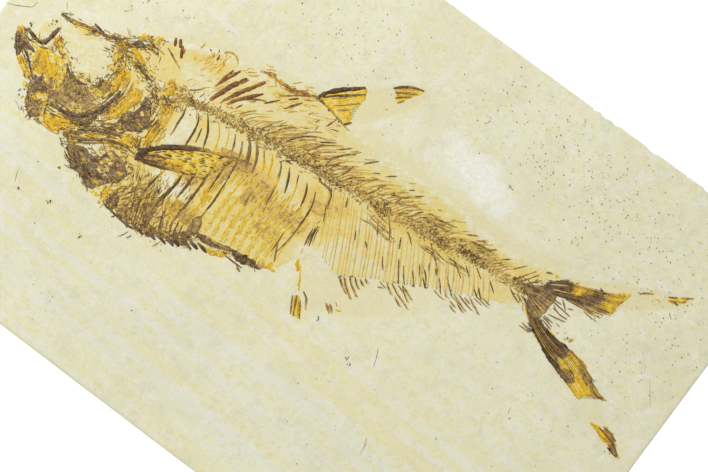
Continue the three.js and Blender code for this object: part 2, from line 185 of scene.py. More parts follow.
class Shade:
    """A socket in a material, wrapped so that what varies over a surface is written as sums."""

    def __init__(self, tree, socket=None):
        self.tree, self.socket = tree, socket

    def node(self, kind, settings=None, inputs=None, output=0):
        made = self.tree.nodes.new(kind)
        for key, value in (settings or {}).items():
            if key == "stops":
                stops = made.color_ramp.elements
                while len(stops) < len(value):
                    stops.new(1)
                for stop, (place, colour) in zip(stops, value):
                    stop.position, stop.color = place, colour
            else:
                setattr(made, key, value)
        for key, value in (inputs or {}).items():
            if isinstance(value, Shade):
                self.tree.links.new(value.socket, made.inputs[key])
            else:
                made.inputs[key].default_value = value
        return Shade(self.tree, made.outputs[output])

    def _sum(self, operation, first, second):
        return self.node("ShaderNodeMath", {"operation": operation}, {0: first, 1: second})

    def __add__(self, other):
        return self._sum("ADD", self, other)

    def __sub__(self, other):
        return self._sum("SUBTRACT", self, other)

    def __mul__(self, other):
        return self._sum("MULTIPLY", self, other)

    def __rsub__(self, other):
        return self._sum("SUBTRACT", other, self)

    __radd__ = __add__
    __rmul__ = __mul__

    def step(self, low, high):
        """0 below low, 1 above high and a smooth rise between them."""
        settings = {"interpolation_type": "SMOOTHSTEP"}
        return self.node("ShaderNodeMapRange", settings, {0: self, 1: low, 2: high, 3: 0.0, 4: 1.0})

    def mix(self, first, second):
        """The first colour where this is 0 and the second where it is 1."""
        return self.node("ShaderNodeMix", {"data_type": "RGBA"}, {0: self, 6: first, 7: second}, 2)

    def speckle(self, size, detail=3.0, roughness=0.6, stretch=(1, 1, 1), turn=0.0):
        """Noise of 0 to 1 with features of a size in mm, drawn out along some axes."""
        scale = [share / (size * MM) for share in stretch]
        rotation = (0, 0, math.radians(turn))
        where = self.node("ShaderNodeMapping", {}, {"Vector": self, "Rotation": rotation})
        where = where.node("ShaderNodeMapping", {}, {"Vector": where, "Scale": scale})
        inputs = {"Vector": where, "Scale": 1.0, "Detail": detail, "Roughness": roughness}
        return self.node("ShaderNodeTexNoise", {}, inputs)


def srgb(red, green, blue):
    """A colour seen in daylight, of 0 to 255, as the linear colour that a shader takes."""
    parts = [part / 255 for part in (red, green, blue)]
    return (*[p / 12.92 if p < 0.04045 else ((p + 0.055) / 1.055) ** 2.4 for p in parts], 1.0)


def new_material(name):
    material = bpy.data.materials.new(name)
    material.use_nodes = True
    tree = material.node_tree
    where = Shade(tree).node("ShaderNodeTexCoord", output="Object")
    return material, tree.nodes["Principled BSDF"], where


def plug(shader, name, value):
    """Puts a constant, or what varies over the surface, into one of the shader's sockets."""
    if isinstance(value, Shade):
        value.tree.links.new(value.socket, shader.inputs[name])
    else:
        shader.inputs[name].default_value = value


def rock_colour(where):
    """Cream with cloudy patches, chalky in one place, with faint streaks below the fish, the
    beige of the scraped beds, and grey patches along the upper rim."""
    x = where.node("ShaderNodeSeparateXYZ", {}, {0: where}, "X")
    y = where.node("ShaderNodeSeparateXYZ", {}, {0: where}, "Y")
    height = where.node("ShaderNodeSeparateXYZ", {}, {0: where}, "Z")
    clouds = where.speckle(34, 4).step(0.35, 0.65)
    colour = clouds.mix(srgb(227, 223, 189), srgb(233, 230, 199))
    mottle = where.speckle(5.5, 5, 0.7).step(0.48, 0.68)
    colour = (mottle * 0.55).mix(colour, srgb(212, 210, 182))
    honey = where.speckle(4.2, 5, 0.75).step(0.5, 0.68)
    colour = (honey * 0.7).mix(colour, srgb(230, 218, 158))
    blotch = where.speckle(6.3, 5, 0.8).step(0.5, 0.66)
    colour = (blotch * 0.75).mix(colour, srgb(236, 231, 219))
    wisps = where.speckle(2.1, 4, 0.8).step(0.54, 0.72)
    colour = (wisps * 0.5).mix(colour, srgb(208, 201, 168))
    low = y.step(0.01, -0.05)
    streaks = where.speckle(4, 3, 0.55, (0.035, 1, 1), 3.0)
    colour = (streaks.step(0.47, 0.66) * low * 0.5).mix(colour, srgb(231, 222, 164))
    colour = (streaks.step(0.5, 0.34) * low * 0.42).mix(colour, srgb(226, 229, 220))

    # the beige halo round the lost lower edge of the tail
    ahead = ((x - 0.031) * 0.8 + (y + 0.006) * 0.6) * 26
    under = ((y + 0.006) * 0.8 - (x - 0.031) * 0.6) * 80
    halo = 1.0 - (ahead * ahead + under * under) + (where.speckle(7, 4, 0.6) - 0.5) * 1.4
    upper = height.step(0.3 * BED * MM, 0.8 * BED * MM)
    colour = (halo.step(0.0, 0.5) * upper * 0.55).mix(colour, srgb(229, 219, 172))

    # the chalky patch above the tail, and a few paler ones round it
    along = ((x - 0.039) * 0.98 - (y - 0.057) * 0.19) * 42
    across = ((y - 0.057) * 0.98 + (x - 0.039) * 0.19) * 92
    near = 1.0 - (across * across + along * along) + (where.speckle(6, 4, 0.7) - 0.5) * 2.4
    chalk = near.step(0.0, 0.9) * upper
    colour = (chalk * 0.85).mix(colour, srgb(238, 236, 222))
    colour = (chalk * where.speckle(1.7, 4, 0.8).step(0.5, 0.62) * 0.8).mix(colour, srgb(248, 248, 244))

    scraped = where.node("ShaderNodeAttribute", {"attribute_name": "scraped"}, output="Fac")
    colour = scraped.mix(colour, srgb(225, 215, 163))
    fine = where.speckle(1.1, 4, 0.75)
    colour = (fine.step(0.54, 0.74) * 0.5).mix(colour, srgb(202, 196, 162))
    colour = (fine.step(0.46, 0.3) * 0.5).mix(colour, srgb(242, 240, 226))

    # the beds show as fine bands on the sawn sides
    side = height.step((BED - 0.7) * MM, (BED - 1.6) * MM)
    bands = where.speckle(1.5, 4, 0.7, (0.03, 0.03, 1))
    colour = (bands.step(0.5, 0.62) * side * 0.75).mix(colour, srgb(208, 196, 152))
    colour = (bands.step(0.45, 0.36) * side * 0.7).mix(colour, srgb(240, 236, 220))
    # grey in patches along the slab's upper rim
    worn = where.node("ShaderNodeAttribute", {"attribute_name": "worn"}, output="Fac")
    grey_rim_patches = worn.step(0.6, 0.95) * (0.35 + where.speckle(5, 3, 0.7).step(0.4, 0.6) * 0.65)
    return grey_rim_patches.mix(colour, srgb(186, 182, 158))


def limestone():
    material, shader, where = new_material("cream limestone")
    plug(shader, "Base Color", rock_colour(where))
    grit = where.speckle(0.55, 4, 0.7)
    plug(shader, "Roughness", 0.78 + grit * 0.2)
    plug(shader, "Specular IOR Level", 0.25)
    height = where.node("ShaderNodeSeparateXYZ", {}, {0: where}, "Z")
    side = height.step((BED - 0.7) * MM, (BED - 1.6) * MM)
    saw_marks = where.speckle(0.7, 3, 0.6, (1, 1, 0.06)) + where.speckle(1.2, 2, 0.5, (0.04, 0.04, 1))
    relief = grit * 0.7 + where.speckle(2.2, 4, 0.7) * 1.2 + saw_marks * side * 2.0
    bump = where.node("ShaderNodeBump", {}, {"Height": relief, "Strength": 0.5, "Distance": 0.14 * MM})
    plug(shader, "Normal", bump)
    return material


def slab_face(square, height):
    """One split face of the slab as an even grid, narrower at the head end."""
    maker = bmesh.new()
    shape = Matrix.Translation((0, 0, height)) @ Matrix.Diagonal((LENGTH, WIDTH, 1, 1))
    counts = (round(LENGTH / square), round(WIDTH / square))
    bmesh.ops.create_grid(maker, x_segments=counts[0], y_segments=counts[1], size=0.5, matrix=shape)
    for vert in maker.verts:
        vert.co.y *= HEAD_END_SHARE + (1 - HEAD_END_SHARE) * (vert.co.x / LENGTH + 0.5)
    return maker


def join(into, other):
    """Adds the faces of one mesh in the making to another."""
    carrier = bpy.data.meshes.new("carrier")
    other.to_mesh(carrier)
    other.free()
    into.from_mesh(carrier)
    bpy.data.meshes.remove(carrier)


def set_heights(maker, heights):
    for vert, height in zip(maker.verts, heights):
        vert.co.z = height


def flat_points(maker):
    return np.array([vert.co[:2] for vert in maker.verts])


slab = slab_face(SLAB_SQUARE, BED)
set_heights(slab, bed(flat_points(slab)))
scraped = slab.verts.layers.float.new("scraped")
points = flat_points(slab)
for outline, stain in zip(SCRAPED, SCRAPED_STAIN):
    depth = within(points, outline) + 0.5 * grain(points, 3, 31.0)
    for vert, share in zip(slab.verts, smooth(0, SCRAPED_EDGE, depth)):
        vert[scraped] = max(vert[scraped], stain * share)
for vert, share in zip(slab.verts, smooth(0, TINGED_EDGE, within(points, TINGED) + 2.5 * grain(points, 5, 33.0))):
    vert[scraped] = max(vert[scraped], TINGED_STAIN * share)

# the worn upper edge: a narrow broken bevel, with chips out of it behind the back fin; its rim is marked to be coloured
# grey
worn = slab.verts.layers.float.new("worn")
rim = [vert for vert in slab.verts if vert.is_boundary]
points = np.array([vert.co[:2] for vert in rim])
broken = 0.4 + 0.08 * grain(points, 16, 41.0)
broken += 0.9 * smooth(0.4, 0.8, grain(points, 7, 43.0)) * smooth(98, 104, points[:, 1]) * smooth(10, 22, points[:, 0])
for vert, depth in zip(rim, np.maximum(broken, 0.15)):
    vert.co.x -= math.copysign(0.8 * depth, vert.co.x) if abs(vert.co.x) > LENGTH / 2 - 0.1 else 0
    vert.co.y -= math.copysign(0.8 * depth, vert.co.y) if abs(vert.co.x) < LENGTH / 2 - 0.1 else 0
    vert.co.z -= 0.7 * depth
    vert[worn] = 1.0
under = slab_face(UNDERSIDE_SQUARE, 0)
points = flat_points(under)
set_heights(under, np.abs(0.5 * grain(points, 40, 9.0) + 0.25 * grain(points, 7, 2.0)))
bmesh.ops.reverse_faces(under, faces=under.faces)
join(slab, under)
rims = [edge for edge in slab.edges if edge.is_boundary]
bmesh.ops.bridge_loops(slab, edges=rims)
walls = [edge for edge in slab.edges if edge.calc_length() > 0.6 * BED]
sawn = bmesh.ops.subdivide_edges(slab, edges=walls, cuts=WALL_CUTS, use_grid_fill=True)["geom_inner"]
sawn = [part for part in sawn if isinstance(part, bmesh.types.BMVert)]
ridges = grain(np.array([(vert.co.x + vert.co.y, 2.5 * vert.co.z) for vert in sawn]), 9, 51.0)
for vert, ridge in zip(sawn, ridges):
    if abs(vert.co.x) > LENGTH / 2 - 1.5:
        vert.co.x -= math.copysign(0.25 * abs(ridge), vert.co.x)
    else:
        vert.co.y -= math.copysign(0.25 * abs(ridge), vert.co.y)
bmesh.ops.recalc_face_normals(slab, faces=slab.faces)
piece("limestone_slab_finished", slab, limestone(), "limestone_slab", slot="limestone")
# ---- how a fossil bone is made and coloured ----
# The bones are brown to amber mineral, pressed nearly flat. Thin parts let the rock show through,
# so the same bone runs from near-black brown through amber to cream. A bone's mesh carries that as
# its tone: 0 is the darkest brown, 0.7 amber, 1 pale yellow and 1.2 the bare rock.

BONE_SQUARE = 0.4  # spacing of the mesh of a flat bone
LET_IN = 0.45  # how far a bone goes down into the rock
FLATTENED = 0.6  # the height left of a bone after the rock above it was laid down
SECTION = [(-1.0, -0.6), (-0.92, 0.25), (-0.5, 0.86), (0.0, 1.0), (0.5, 0.86), (0.92, 0.25), (1.0, -0.6)]
TONES = [
    (0.0, srgb(60, 42, 22)),
    (0.2, srgb(102, 76, 42)),
    (0.4, srgb(147, 119, 72)),
    (0.56, srgb(188, 154, 78)),
    (0.66, srgb(219, 172, 22)),
    (0.78, srgb(230, 188, 30)),
    (0.87, srgb(230, 201, 78)),
    (0.96, srgb(229, 212, 130)),
    (1.05, srgb(228, 216, 162)),
    (1.2, srgb(228, 224, 194)),
]
KHAKI = [
    (0.0, srgb(86, 64, 36)),
    (0.25, srgb(134, 106, 62)),
    (0.5, srgb(178, 148, 88)),
    (0.66, srgb(209, 173, 94)),
    (0.8, srgb(225, 197, 104)),
    (0.9, srgb(229, 208, 128)),
    (1.0, srgb(224, 212, 152)),
    (1.2, srgb(226, 220, 186)),
]


def curve(line, step, closed=False):
    """Points about a step apart on the smooth line through a few points. Any third number of a
    point, its tone, is carried along."""
    line = np.asarray(line, float)
    if closed:
        padded = np.vstack([line[-1:], line, line[:2]])
    else:
        padded = np.vstack([2 * line[:1] - line[1:2], line, 2 * line[-1:] - line[-2:-1]])
    made = []
    for a, b, c, d in zip(padded, padded[1:], padded[2:], padded[3:]):
        count = max(1, round(math.dist(b[:2], c[:2]) / step))
        for t in np.arange(count) / count:
            bend = (2 * a - 5 * b + 4 * c - d) * t * t + (3 * b - a - 3 * c + d) * t**3
            made.append(b + 0.5 * ((c - a) * t + bend))
    if not closed:
        made.append(line[-1])
    return np.array(made)


def ragged(outline, amount, step=0.45):
    """A closed outline with a broken edge, as a flat bone's is."""
    rim = curve(outline, step, closed=True)[:, :2]
    ahead = np.roll(rim, -1, axis=0) - np.roll(rim, 1, axis=0)
    across = np.column_stack([-ahead[:, 1], ahead[:, 0]]) / np.maximum(np.hypot(*ahead.T), 1e-6)[:, None]
    return rim + across * (amount * (grain(rim, 2.4, 4.0) + 0.7 * grain(rim, 0.8, 7.0, 2)))[:, None]


def flat_bone(outline, relief, tone, stains=(), rag=0.5, square=BONE_SQUARE, crown=0.8):
    """A plate of bone: an even grid cut to a ragged outline, swollen a little in the middle.
    A stain is a width, a tone, a strength and the line that it follows."""
    rim = ragged(outline, rag)
    low, high = rim.min(0) - square, rim.max(0) + square
    middle, size = (low + high) / 2, high - low
    counts = np.ceil(size / square).astype(int)
    maker = bmesh.new()
    tones = maker.verts.layers.float.new("tone")
    shape = Matrix.Translation((*middle, BED - LET_IN - 0.2)) @ Matrix.Diagonal((*size, 1, 1))
    bmesh.ops.create_grid(maker, x_segments=counts[0], y_segments=counts[1], size=0.5, matrix=shape)
    centres = np.array([face.calc_center_median()[:2] for face in maker.faces])
    outside = [face for face, depth in zip(maker.faces, within(centres, rim)) if depth < 0]
    bmesh.ops.delete(maker, geom=outside, context="FACES")
    edge = [vert for vert in maker.verts if vert.is_boundary]
    for vert, place in zip(edge, to_line(np.array([v.co[:2] for v in edge]), rim, closed=True)[2]):
        vert.co.xy = place
    bmesh.ops.remove_doubles(maker, verts=maker.verts, dist=0.08)

    underneath = list(maker.faces)
    made = bmesh.ops.extrude_face_region(maker, geom=underneath)["geom"]
    top = [part for part in made if isinstance(part, bmesh.types.BMVert)]
    points = np.array([vert.co[:2] for vert in top])
    depth = within(points, rim)
    swell = smooth(-0.1, crown, depth) * (0.8 + 0.4 * grain(points, 2.4, 6.0))
    heights = bed(points) + relief * (swell + 0.2 * grain(points, 0.8, 8.0, 2)) - 0.05
    shades = np.full(len(points), float(tone))
    for width, shade, strength, line in stains:
        gap = to_line(points, curve(line, 1.0))[0] + 0.3 * grain(points, 1.5, 11.0, 2)
        shades += (shade - shades) * strength * smooth(width * 0.75, width * 0.3, gap)
    for vert, height, shade in zip(top, heights, shades):
        vert.co.z = height
        vert[tones] = shade
    bmesh.ops.dissolve_faces(maker, faces=[face for face in underneath if face.is_valid])
    return maker


def long_bone(maker, line, width, relief, step=1.3, taper=0.45):
    """A rib, spine or ray: a round-topped section drawn out along a smooth line of points, each
    with its tone, and thinner at both ends."""
    stations = curve(line, step)
    points = stations[:, :2]
    ahead = np.gradient(points, axis=0)
    ahead /= np.maximum(np.hypot(*ahead.T), 1e-6)[:, None]
    share = np.linspace(0, 1, len(points))
    girth = taper + (1 - taper) * np.sin(math.pi * np.clip(share, 0.02, 0.98)) ** 0.5
    girth *= 1 + 0.35 * grain(points, 1.2, 12.0, 2)
    base = bed(points)

    rod = bmesh.new()
    tones = rod.verts.layers.float.new("tone")
    bmesh.ops.create_cone(rod, segments=len(SECTION), cap_ends=True, radius1=1, radius2=1, depth=1)
    lengthwise = [edge for edge in rod.edges if abs(edge.verts[0].co.z - edge.verts[1].co.z) > 0.5]
    if len(stations) > 2:
        bmesh.ops.subdivide_edges(rod, edges=lengthwise, cuts=len(stations) - 2, use_grid_fill=True)
    for vert in rod.verts:
        at = round((vert.co.z + 0.5) * (len(stations) - 1))
        corner = round(math.atan2(vert.co.x, vert.co.y) / math.tau * len(SECTION))
        side, up = SECTION[corner % len(SECTION)]
        offset = side * girth[at] * width / 2
        height = base[at] + up * (relief * girth[at] if up > 0 else LET_IN)
        vert.co = (points[at][0] - ahead[at][1] * offset, points[at][1] + ahead[at][0] * offset, height)
        vert[tones] = stations[at][2]
    join(maker, rod)


def splinters(maker, line, spread, count, length, width, tones, scatter, chance, lift, turned=0):
    """Broken splinters of bone strewn along a line, turned from it by an angle and scattered."""
    path = curve([(x, y, 0) for x, y in line], 0.4)[:, :2]
    ahead = np.gradient(path, axis=0)
    for _ in range(count):
        at = chance.randrange(len(path))
        x, y = path[at] + [chance.gauss(0, spread / 2), chance.gauss(0, spread / 2)]
        turn = math.atan2(ahead[at][1], ahead[at][0]) + math.radians(chance.gauss(turned, scatter))
        half = length * chance.uniform(0.3, 0.65)
        dx, dy = half * math.cos(turn), half * math.sin(turn)
        bow = chance.uniform(-0.2, 0.2)
        tone = chance.uniform(*tones)
        points = [(x - dx, y - dy, tone), (x - dy * bow, y + dx * bow, tone), (x + dx, y + dy, tone + 0.1)]
        long_bone(maker, points, width * chance.uniform(0.6, 1.2), lift, 0.9, 0.4)


def crumbs(maker, line, spread, count, size, tones, chance, lift):
    """Crumbs of bone strewn along a line: low five-sided grains, each of one tone."""
    tone_layer = maker.verts.layers.float["tone"]
    path = curve([(x, y, 0) for x, y in line], 0.4)[:, :2]
    places = np.array([path[chance.randrange(len(path))] for _ in range(count)])
    places += [[chance.gauss(0, spread / 2), chance.gauss(0, spread / 2)] for _ in range(count)]
    places = places[(abs(places[:, 0]) < LENGTH / 2 - 1.5) & (abs(places[:, 1]) < WIDTH * HEAD_END_SHARE / 2 - 1)]
    for (x, y), height in zip(places, bed(places)):
        across = size * chance.uniform(0.5, 1.3)
        shape = Matrix.Translation((x, y, height + lift - 0.3))
        shape @= Matrix.Rotation(chance.uniform(0, math.tau), 4, "Z")
        shape @= Matrix.Diagonal((across, across * chance.uniform(0.45, 1), 0.6, 1))
        made = bmesh.ops.create_cone(
            maker, segments=5, cap_ends=True, radius1=0.5, radius2=0.3, depth=1, matrix=shape
        )
        tone = chance.uniform(*tones)
        for vert in made["verts"]:
            vert[tone_layer] = tone


def fan(first, last, count, uneven, chance):
    """Lines spread evenly from a first line of points and tones to a last one, each a little
    darker or paler than the next."""
    first, last = np.array(first, float), np.array(last, float)
    lines = []
    for share in np.linspace(0, 1, count):
        line = first + (last - first) * share
        line[:, 2] += chance.uniform(-uneven, uneven)
        lines.append(line)
    return lines


def bones(name, material, *nodes, slot, plates=(), rays=(), strewn=(), crumbled=(), lift=0.37):
    """One piece of the skeleton. A plate is a relief, a tone, an outline and its stains, a ray a
    width, a relief and a line of points with their tones; splinters and crumbs go round both."""
    chance = random.Random(name)
    maker = bmesh.new()
    maker.verts.layers.float.new("tone")
    for plate in plates:
        relief, tone, outline, *stains = plate
        join(maker, flat_bone(outline, relief * FLATTENED, tone, stains))
    rods = bmesh.new()
    rods.verts.layers.float.new("tone")
    for width, relief, line in rays:
        long_bone(rods, line, width, relief * FLATTENED)
    for line, spread, count, length, width, tones, scatter, *turned in strewn:
        splinters(rods, line, spread, count, length, width, tones, scatter, chance, lift, *turned)
    join(maker, rods)
    grains = bmesh.new()
    grains.verts.layers.float.new("tone")
    for line, spread, count, size, tones in crumbled:
        crumbs(grains, line, spread, count, size, tones, chance, lift)
    join(maker, grains)
    bmesh.ops.recalc_face_normals(maker, faces=maker.faces)
    return piece(name, maker, material, *nodes, slot=slot)


def bone_finish(
    name, mottle=0.3, grit=0.2, gloss=0.45, ash=0.0, crackle=0.5, tones=TONES, shards=0.25, fibres=0.0, grain_turn=0
):
    """The mineral of the bones. Mottling, fibres and shards shift the tone, ash greys the brown,
    and the darker the bone, the glossier it is."""
    material, shader, where = new_material(name)
    tone = where.node("ShaderNodeAttribute", {"attribute_name": "tone"}, output="Fac")
    patches = where.speckle(2.2, 3, 0.6) - 0.5
    fine = where.speckle(0.6, 3, 0.7) - 0.5
    broken = where.node("ShaderNodeTexVoronoi", {}, {0: where, 2: 1 / (0.9 * MM)}, "Color")
    broken = broken.node("ShaderNodeSeparateColor", {}, {0: broken}) - 0.5
    shade = tone + patches * (2 * mottle) + fine * (2 * grit) + broken * shards
    if fibres:
        shade = shade + (where.speckle(0.55, 3, 0.6, (0.14, 1, 1), grain_turn) - 0.5) * (2 * fibres)
    stops = [(place / 1.2, colour) for place, colour in tones]
    ramp = shade * (1 / 1.2)
    colour = ramp.node("ShaderNodeValToRGB", {"stops": stops}, {0: ramp})
    if ash:
        grey = where.speckle(3.5, 4, 0.6).step(0.42, 0.62) * shade.step(0.75, 0.3) * ash
        colour = grey.mix(colour, srgb(142, 122, 104))
    plug(shader, "Base Color", colour)
    plug(shader, "Roughness", gloss + shade.step(0.2, 0.9) * 0.3 + fine * 0.3)
    plug(shader, "Specular IOR Level", 0.3)
    cracks = where.node("ShaderNodeTexVoronoi", {"feature": "DISTANCE_TO_EDGE"}, {0: where, 2: 1 / (1.3 * MM)})
    relief = fine * 0.6 + patches * 0.5 + cracks.step(0.0, 0.12) * crackle
    bump = where.node("ShaderNodeBump", {}, {"Height": relief, "Strength": 0.5, "Distance": 0.15 * MM})
    plug(shader, "Normal", bump)
    return material
# ---- the film of scales and skin ----
# What is left of the fish's skin: a thin yellow film on the rock between the bones, darker over
# the ribs and the belly, and fading out towards the back. It is modelled as one thin sheet.

FILM = 0.22
FILM_SQUARE = 0.5


def film_material():
    material, shader, where = new_material("yellow film of scales")
    tone = where.node("ShaderNodeAttribute", {"attribute_name": "tone"}, output="Fac")
    patches = where.speckle(3.5, 4, 0.65) - 0.5
    threads = where.speckle(0.9, 3, 0.6, (0.22, 1, 1), -30.0) - 0.5
    across = where.speckle(0.8, 3, 0.6, (0.25, 1, 1), 62.0) - 0.5
    fine = where.speckle(0.6, 3, 0.7) - 0.5
    shade = tone + patches * 0.24 + threads * 0.3 + across * 0.26 + fine * 0.2 + 0.02
    stops = [(place / 1.2, colour) for place, colour in KHAKI]
    ramp = shade * (1 / 1.2)
    colour = ramp.node("ShaderNodeValToRGB", {"stops": stops}, {0: ramp})
    gold = where.speckle(1.5, 3, 0.7).step(0.54, 0.68) * shade.step(0.96, 0.84) * 0.55
    colour = gold.mix(colour, srgb(228, 196, 54))
    olive = where.speckle(1.2, 3, 0.75).step(0.56, 0.7) * shade.step(0.98, 0.84) * 0.5
    colour = olive.mix(colour, srgb(160, 138, 96))
    colour = shade.step(0.96, 1.14).mix(colour, rock_colour(where))
    plug(shader, "Base Color", colour)
    plug(shader, "Roughness", 0.72 + fine * 0.3)
    relief = threads * 0.8 + fine
    bump = where.node("ShaderNodeBump", {}, {"Height": relief, "Strength": 0.4, "Distance": 0.1 * MM})
    plug(shader, "Normal", bump)
    return material



FILM_OUTLINE = [
    (-143, 5), (-137, 9.8), (-128, 11.5), (-118, 14), (-107, 19.5), (-100, 26), (-95, 30), (-89, 32),
    (-84, 34), (-78, 37.5), (-70, 39), (-60, 39.5), (-54, 42), (-45, 43), (-36, 45.5), (-26, 46), (-17, 44),
    (-8, 43.5), (2, 43), (16, 43), (26, 44), (40, 43.5), (52, 42.5), (62, 42.5), (72, 43), (80, 44.5), (86, 46.5),
    (90, 44), (88, 38), (93, 34), (92, 27), (88, 24), (84, 24.4), (78, 21.6), (72, 18.6), (63, 15), (53, 10.6),
    (43, 5.6), (34, -0.6), (30, -1.6), (22, -6.6), (16, -10), (8, -10), (4, -12), (-2, -16), (-6, -23),
    (-14, -27), (-27, -31), (-35, -34), (-46, -39), (-56, -42), (-68, -43.5), (-79, -42), (-84, -41),
    (-92, -39), (-104, -34), (-110, -30), (-122, -31.5), (-130, -25), (-136, -19), (-146, -11), (-149, -5),
    (-144, -3),
]
FILM_TONE = 0.93
FADED = 1.22  # its tone where it has worn away to bare rock
FADED_BACK = 1.04  # and along the back, where it has only paled

BELLY_STRIPS = [-39.2, -36, -31.5, -28, -24.2, -20, -16.3, -12.6]
FILM_STAINS = [
    # over the head
    (34, 1.0, 0.9, [(-140, 0), (-122, 4), (-108, 12)]),
    (20, 1.02, 0.9, [(-130, 4), (-120, 3.5), (-113, 4)]),
    (5, 0.84, 0.8, [(-128, 10.2), (-124, 11)]),
    (4, 0.86, 0.7, [(-114, -6), (-118, -6.4)]),
    (7, 0.84, 0.8, [(-104, 14), (-98, 12), (-99, 6)]),
    (5, 0.8, 0.8, [(-108, 8), (-103, 1), (-106, -3)]),
    (16, 0.9, 0.9, [(-98, 22), (-88, 19), (-82, 21)]),
    (5, 0.8, 0.9, [(-86, 6), (-80, 4), (-79, -4), (-79, -12)]),
    (5, 0.8, 0.8, [(-101, 27), (-101, 22)]),
    (6, 0.76, 0.8, [(-88, -16), (-84, -15)]),
    (8, 0.84, 0.9, [(-88, -21), (-76, -22)]),
    (5, 0.88, 0.7, [(-106, -26), (-98, -21)]),
    (4, 1.05, 0.9, [(-98, -26.5), (-93, -24)]),
    (6, 0.88, 0.8, [(-128, -7), (-123, -13)]),
    (5, 0.9, 0.8, [(-120, -26), (-118, -30)]),
    (3, 1.1, 0.9, [(-100.5, -16), (-99.3, -20)]),
    # along the back
    (9, 1.02, 0.8, [(-82, 22), (-76, 21), (-72, 18)]),
    (14, 0.96, 0.75, [(-62, 33), (-48, 27), (-40, 27)]),
    (7, 0.96, 0.7, [(-45, 33), (-30, 38), (-8, 39), (6, 38)]),
    (6, 0.84, 0.8, [(-84, 30), (-73, 31)]),
    (5, 0.86, 0.7, [(-75, 37), (-70, 37)]),
    (6, 0.82, 0.7, [(-46, 36), (-34, 43.5), (-22, 44)]),
    (6, 0.86, 0.6, [(-38, 23), (-22, 25), (-6, 28), (8, 29)]),
    (4, 0.78, 0.6, [(-38, 22), (-30, 22.5), (-18, 24)]),
    (7, 1.03, 0.7, [(10, 41), (40, 40), (60, 40)]),
    (4, 0.7, 0.5, [(20, 39.5), (24, 40.5)]),
    (4, 0.7, 0.5, [(30, 39.5), (34, 39)]),
    (4, 0.7, 0.5, [(40, 40), (45, 38.5)]),
    (5, 0.8, 0.6, [(12, 33), (30, 34), (50, 35), (66, 36)]),
    (4, 0.76, 0.6, [(-6, 24), (14, 26), (30, 28), (50, 31), (64, 32.4)]),
    # the belly, in tiers
    (7, 1.06, 0.9, [(-70, 8), (-70, 1), (-70, -5)]),
    (8, 1.0, 0.8, [(-57, 9), (-54, 8), (-48, 8)]),
    (4, 0.82, 0.7, [(-66, 8), (-64, 9)]),
    (2.4, 1.0, 0.7, [(-43, -6.8), (-36, -6.8), (-28, -6.4), (-16, -6)]),
    (2.4, 1.0, 0.7, [(-40, 7), (-30, 7.6), (-18, 8)]),
    (9, 0.86, 0.7, [(-41, 1.5), (-36, 1)]),
    (12, 0.62, 0.65, [(-32, 3), (-28, -3), (-22, -5)]),
    (8, 0.62, 0.65, [(-19, -3), (-8, -2)]),
    (8, 0.68, 0.6, [(-27, -10), (-20, -12), (-14, -12)]),
    (9, 0.68, 0.6, [(-12, 11), (-4, 9), (0, 14)]),
    (2.2, 1.0, 0.7, [(-45, -20.6), (-34, -20.3), (-22, -19.8)]),
    (9, 0.86, 0.7, [(-47, -16), (-46, -21)]),
    (5, 0.74, 0.8, [(-16, -12), (-11, -18)]),
    (9, 0.6, 0.6, [(-55, -26), (-49, -26)]),
    (6, 0.5, 0.7, [(-44, -24), (-43, -28)]),
    (9, 0.6, 0.6, [(-62, -12), (-55, -11)]),
    (8, 1.1, 0.95, [(-66, -18.6), (-62, -20), (-57.8, -20)]),
    (4, 1.06, 0.8, [(-54, -19.6), (-52.6, -20)]),
    (10, 0.8, 0.6, [(-74, -28), (-70, -34), (-60, -37)]),
    (7, 0.5, 0.5, [(-68, -30), (-62, -33), (-57, -36)]),
    (8, 0.66, 0.6, [(-76, -38), (-68, -40), (-56, -38)]),
    (6, 0.76, 0.8, [(-47, -33), (-54, -36)]),
    *[(2.6, 0.8, 0.6, [(x, -8.5 - 0.1 * (x + 40)), (x + 0.2, -19)]) for x in BELLY_STRIPS],
    *[(2.4, 0.84, 0.6, [(x + 0.3, -20.5), (x + 0.8, -25.5)]) for x in BELLY_STRIPS],
    (10, 0.88, 0.7, [(-40, -22), (-12, -21)]),
    (9, 0.86, 0.7, [(-40, -13), (-12, -12)]),
    (9, 0.6, 0.8, [(-50, 0), (-45, 2.5), (-41, 4.6)]),
    (6, 0.64, 0.8, [(-50, -5), (-47, -9)]),
    # behind the belly and under the tail
    (7, 0.88, 0.6, [(-2, -2), (2, 4)]),
    (8, 1.08, 0.8, [(-1, -10), (7, -7), (7, -2)]),
    (5, 0.66, 0.5, [(14, 21), (30, 23), (50, 25)]),
    (6, 0.78, 0.7, [(-2, 3), (6, 4)]),
    (9, 0.95, 0.6, [(14, 8), (40, 16), (60, 21)]),
    (6, 1.0, 0.6, [(18, -2), (32, 5), (50, 14), (64, 19)]),
    (4, 1.04, 0.8, [(8, 3), (28, 2.4)]),
    (5, 1.04, 0.7, [(12, 16), (26, 13)]),
    (5, 0.86, 0.6, [(56, 33), (74, 36), (84, 42)]),
    (4, 0.8, 0.7, [(76, 38), (86, 44)]),
    (5, 0.94, 0.6, [(72, 27), (84, 25.5)]),
]

scales = flat_bone(FILM_OUTLINE, FILM, FILM_TONE, FILM_STAINS, rag=0.9, square=FILM_SQUARE, crown=2.0)
film_tones = scales.verts.layers.float["tone"]
film_points = flat_points(scales)
soft = 1.8 + 4.4 * smooth(22, 36, film_points[:, 1])
depth = within(film_points, curve(FILM_OUTLINE, 1.0, closed=True)) + 0.9 * grain(film_points, 3, 21.0)
faded = FADED + (FADED_BACK - FADED) * smooth(32, 38, film_points[:, 1])
for vert, share, pale in zip(scales.verts, 1 - smooth(0, 1, depth / soft), faded):
    vert[film_tones] += (pale - vert[film_tones]) * share
bmesh.ops.recalc_face_normals(scales, faces=scales.faces)
piece("film_of_scales", scales, film_material(), slot="fin_bone")

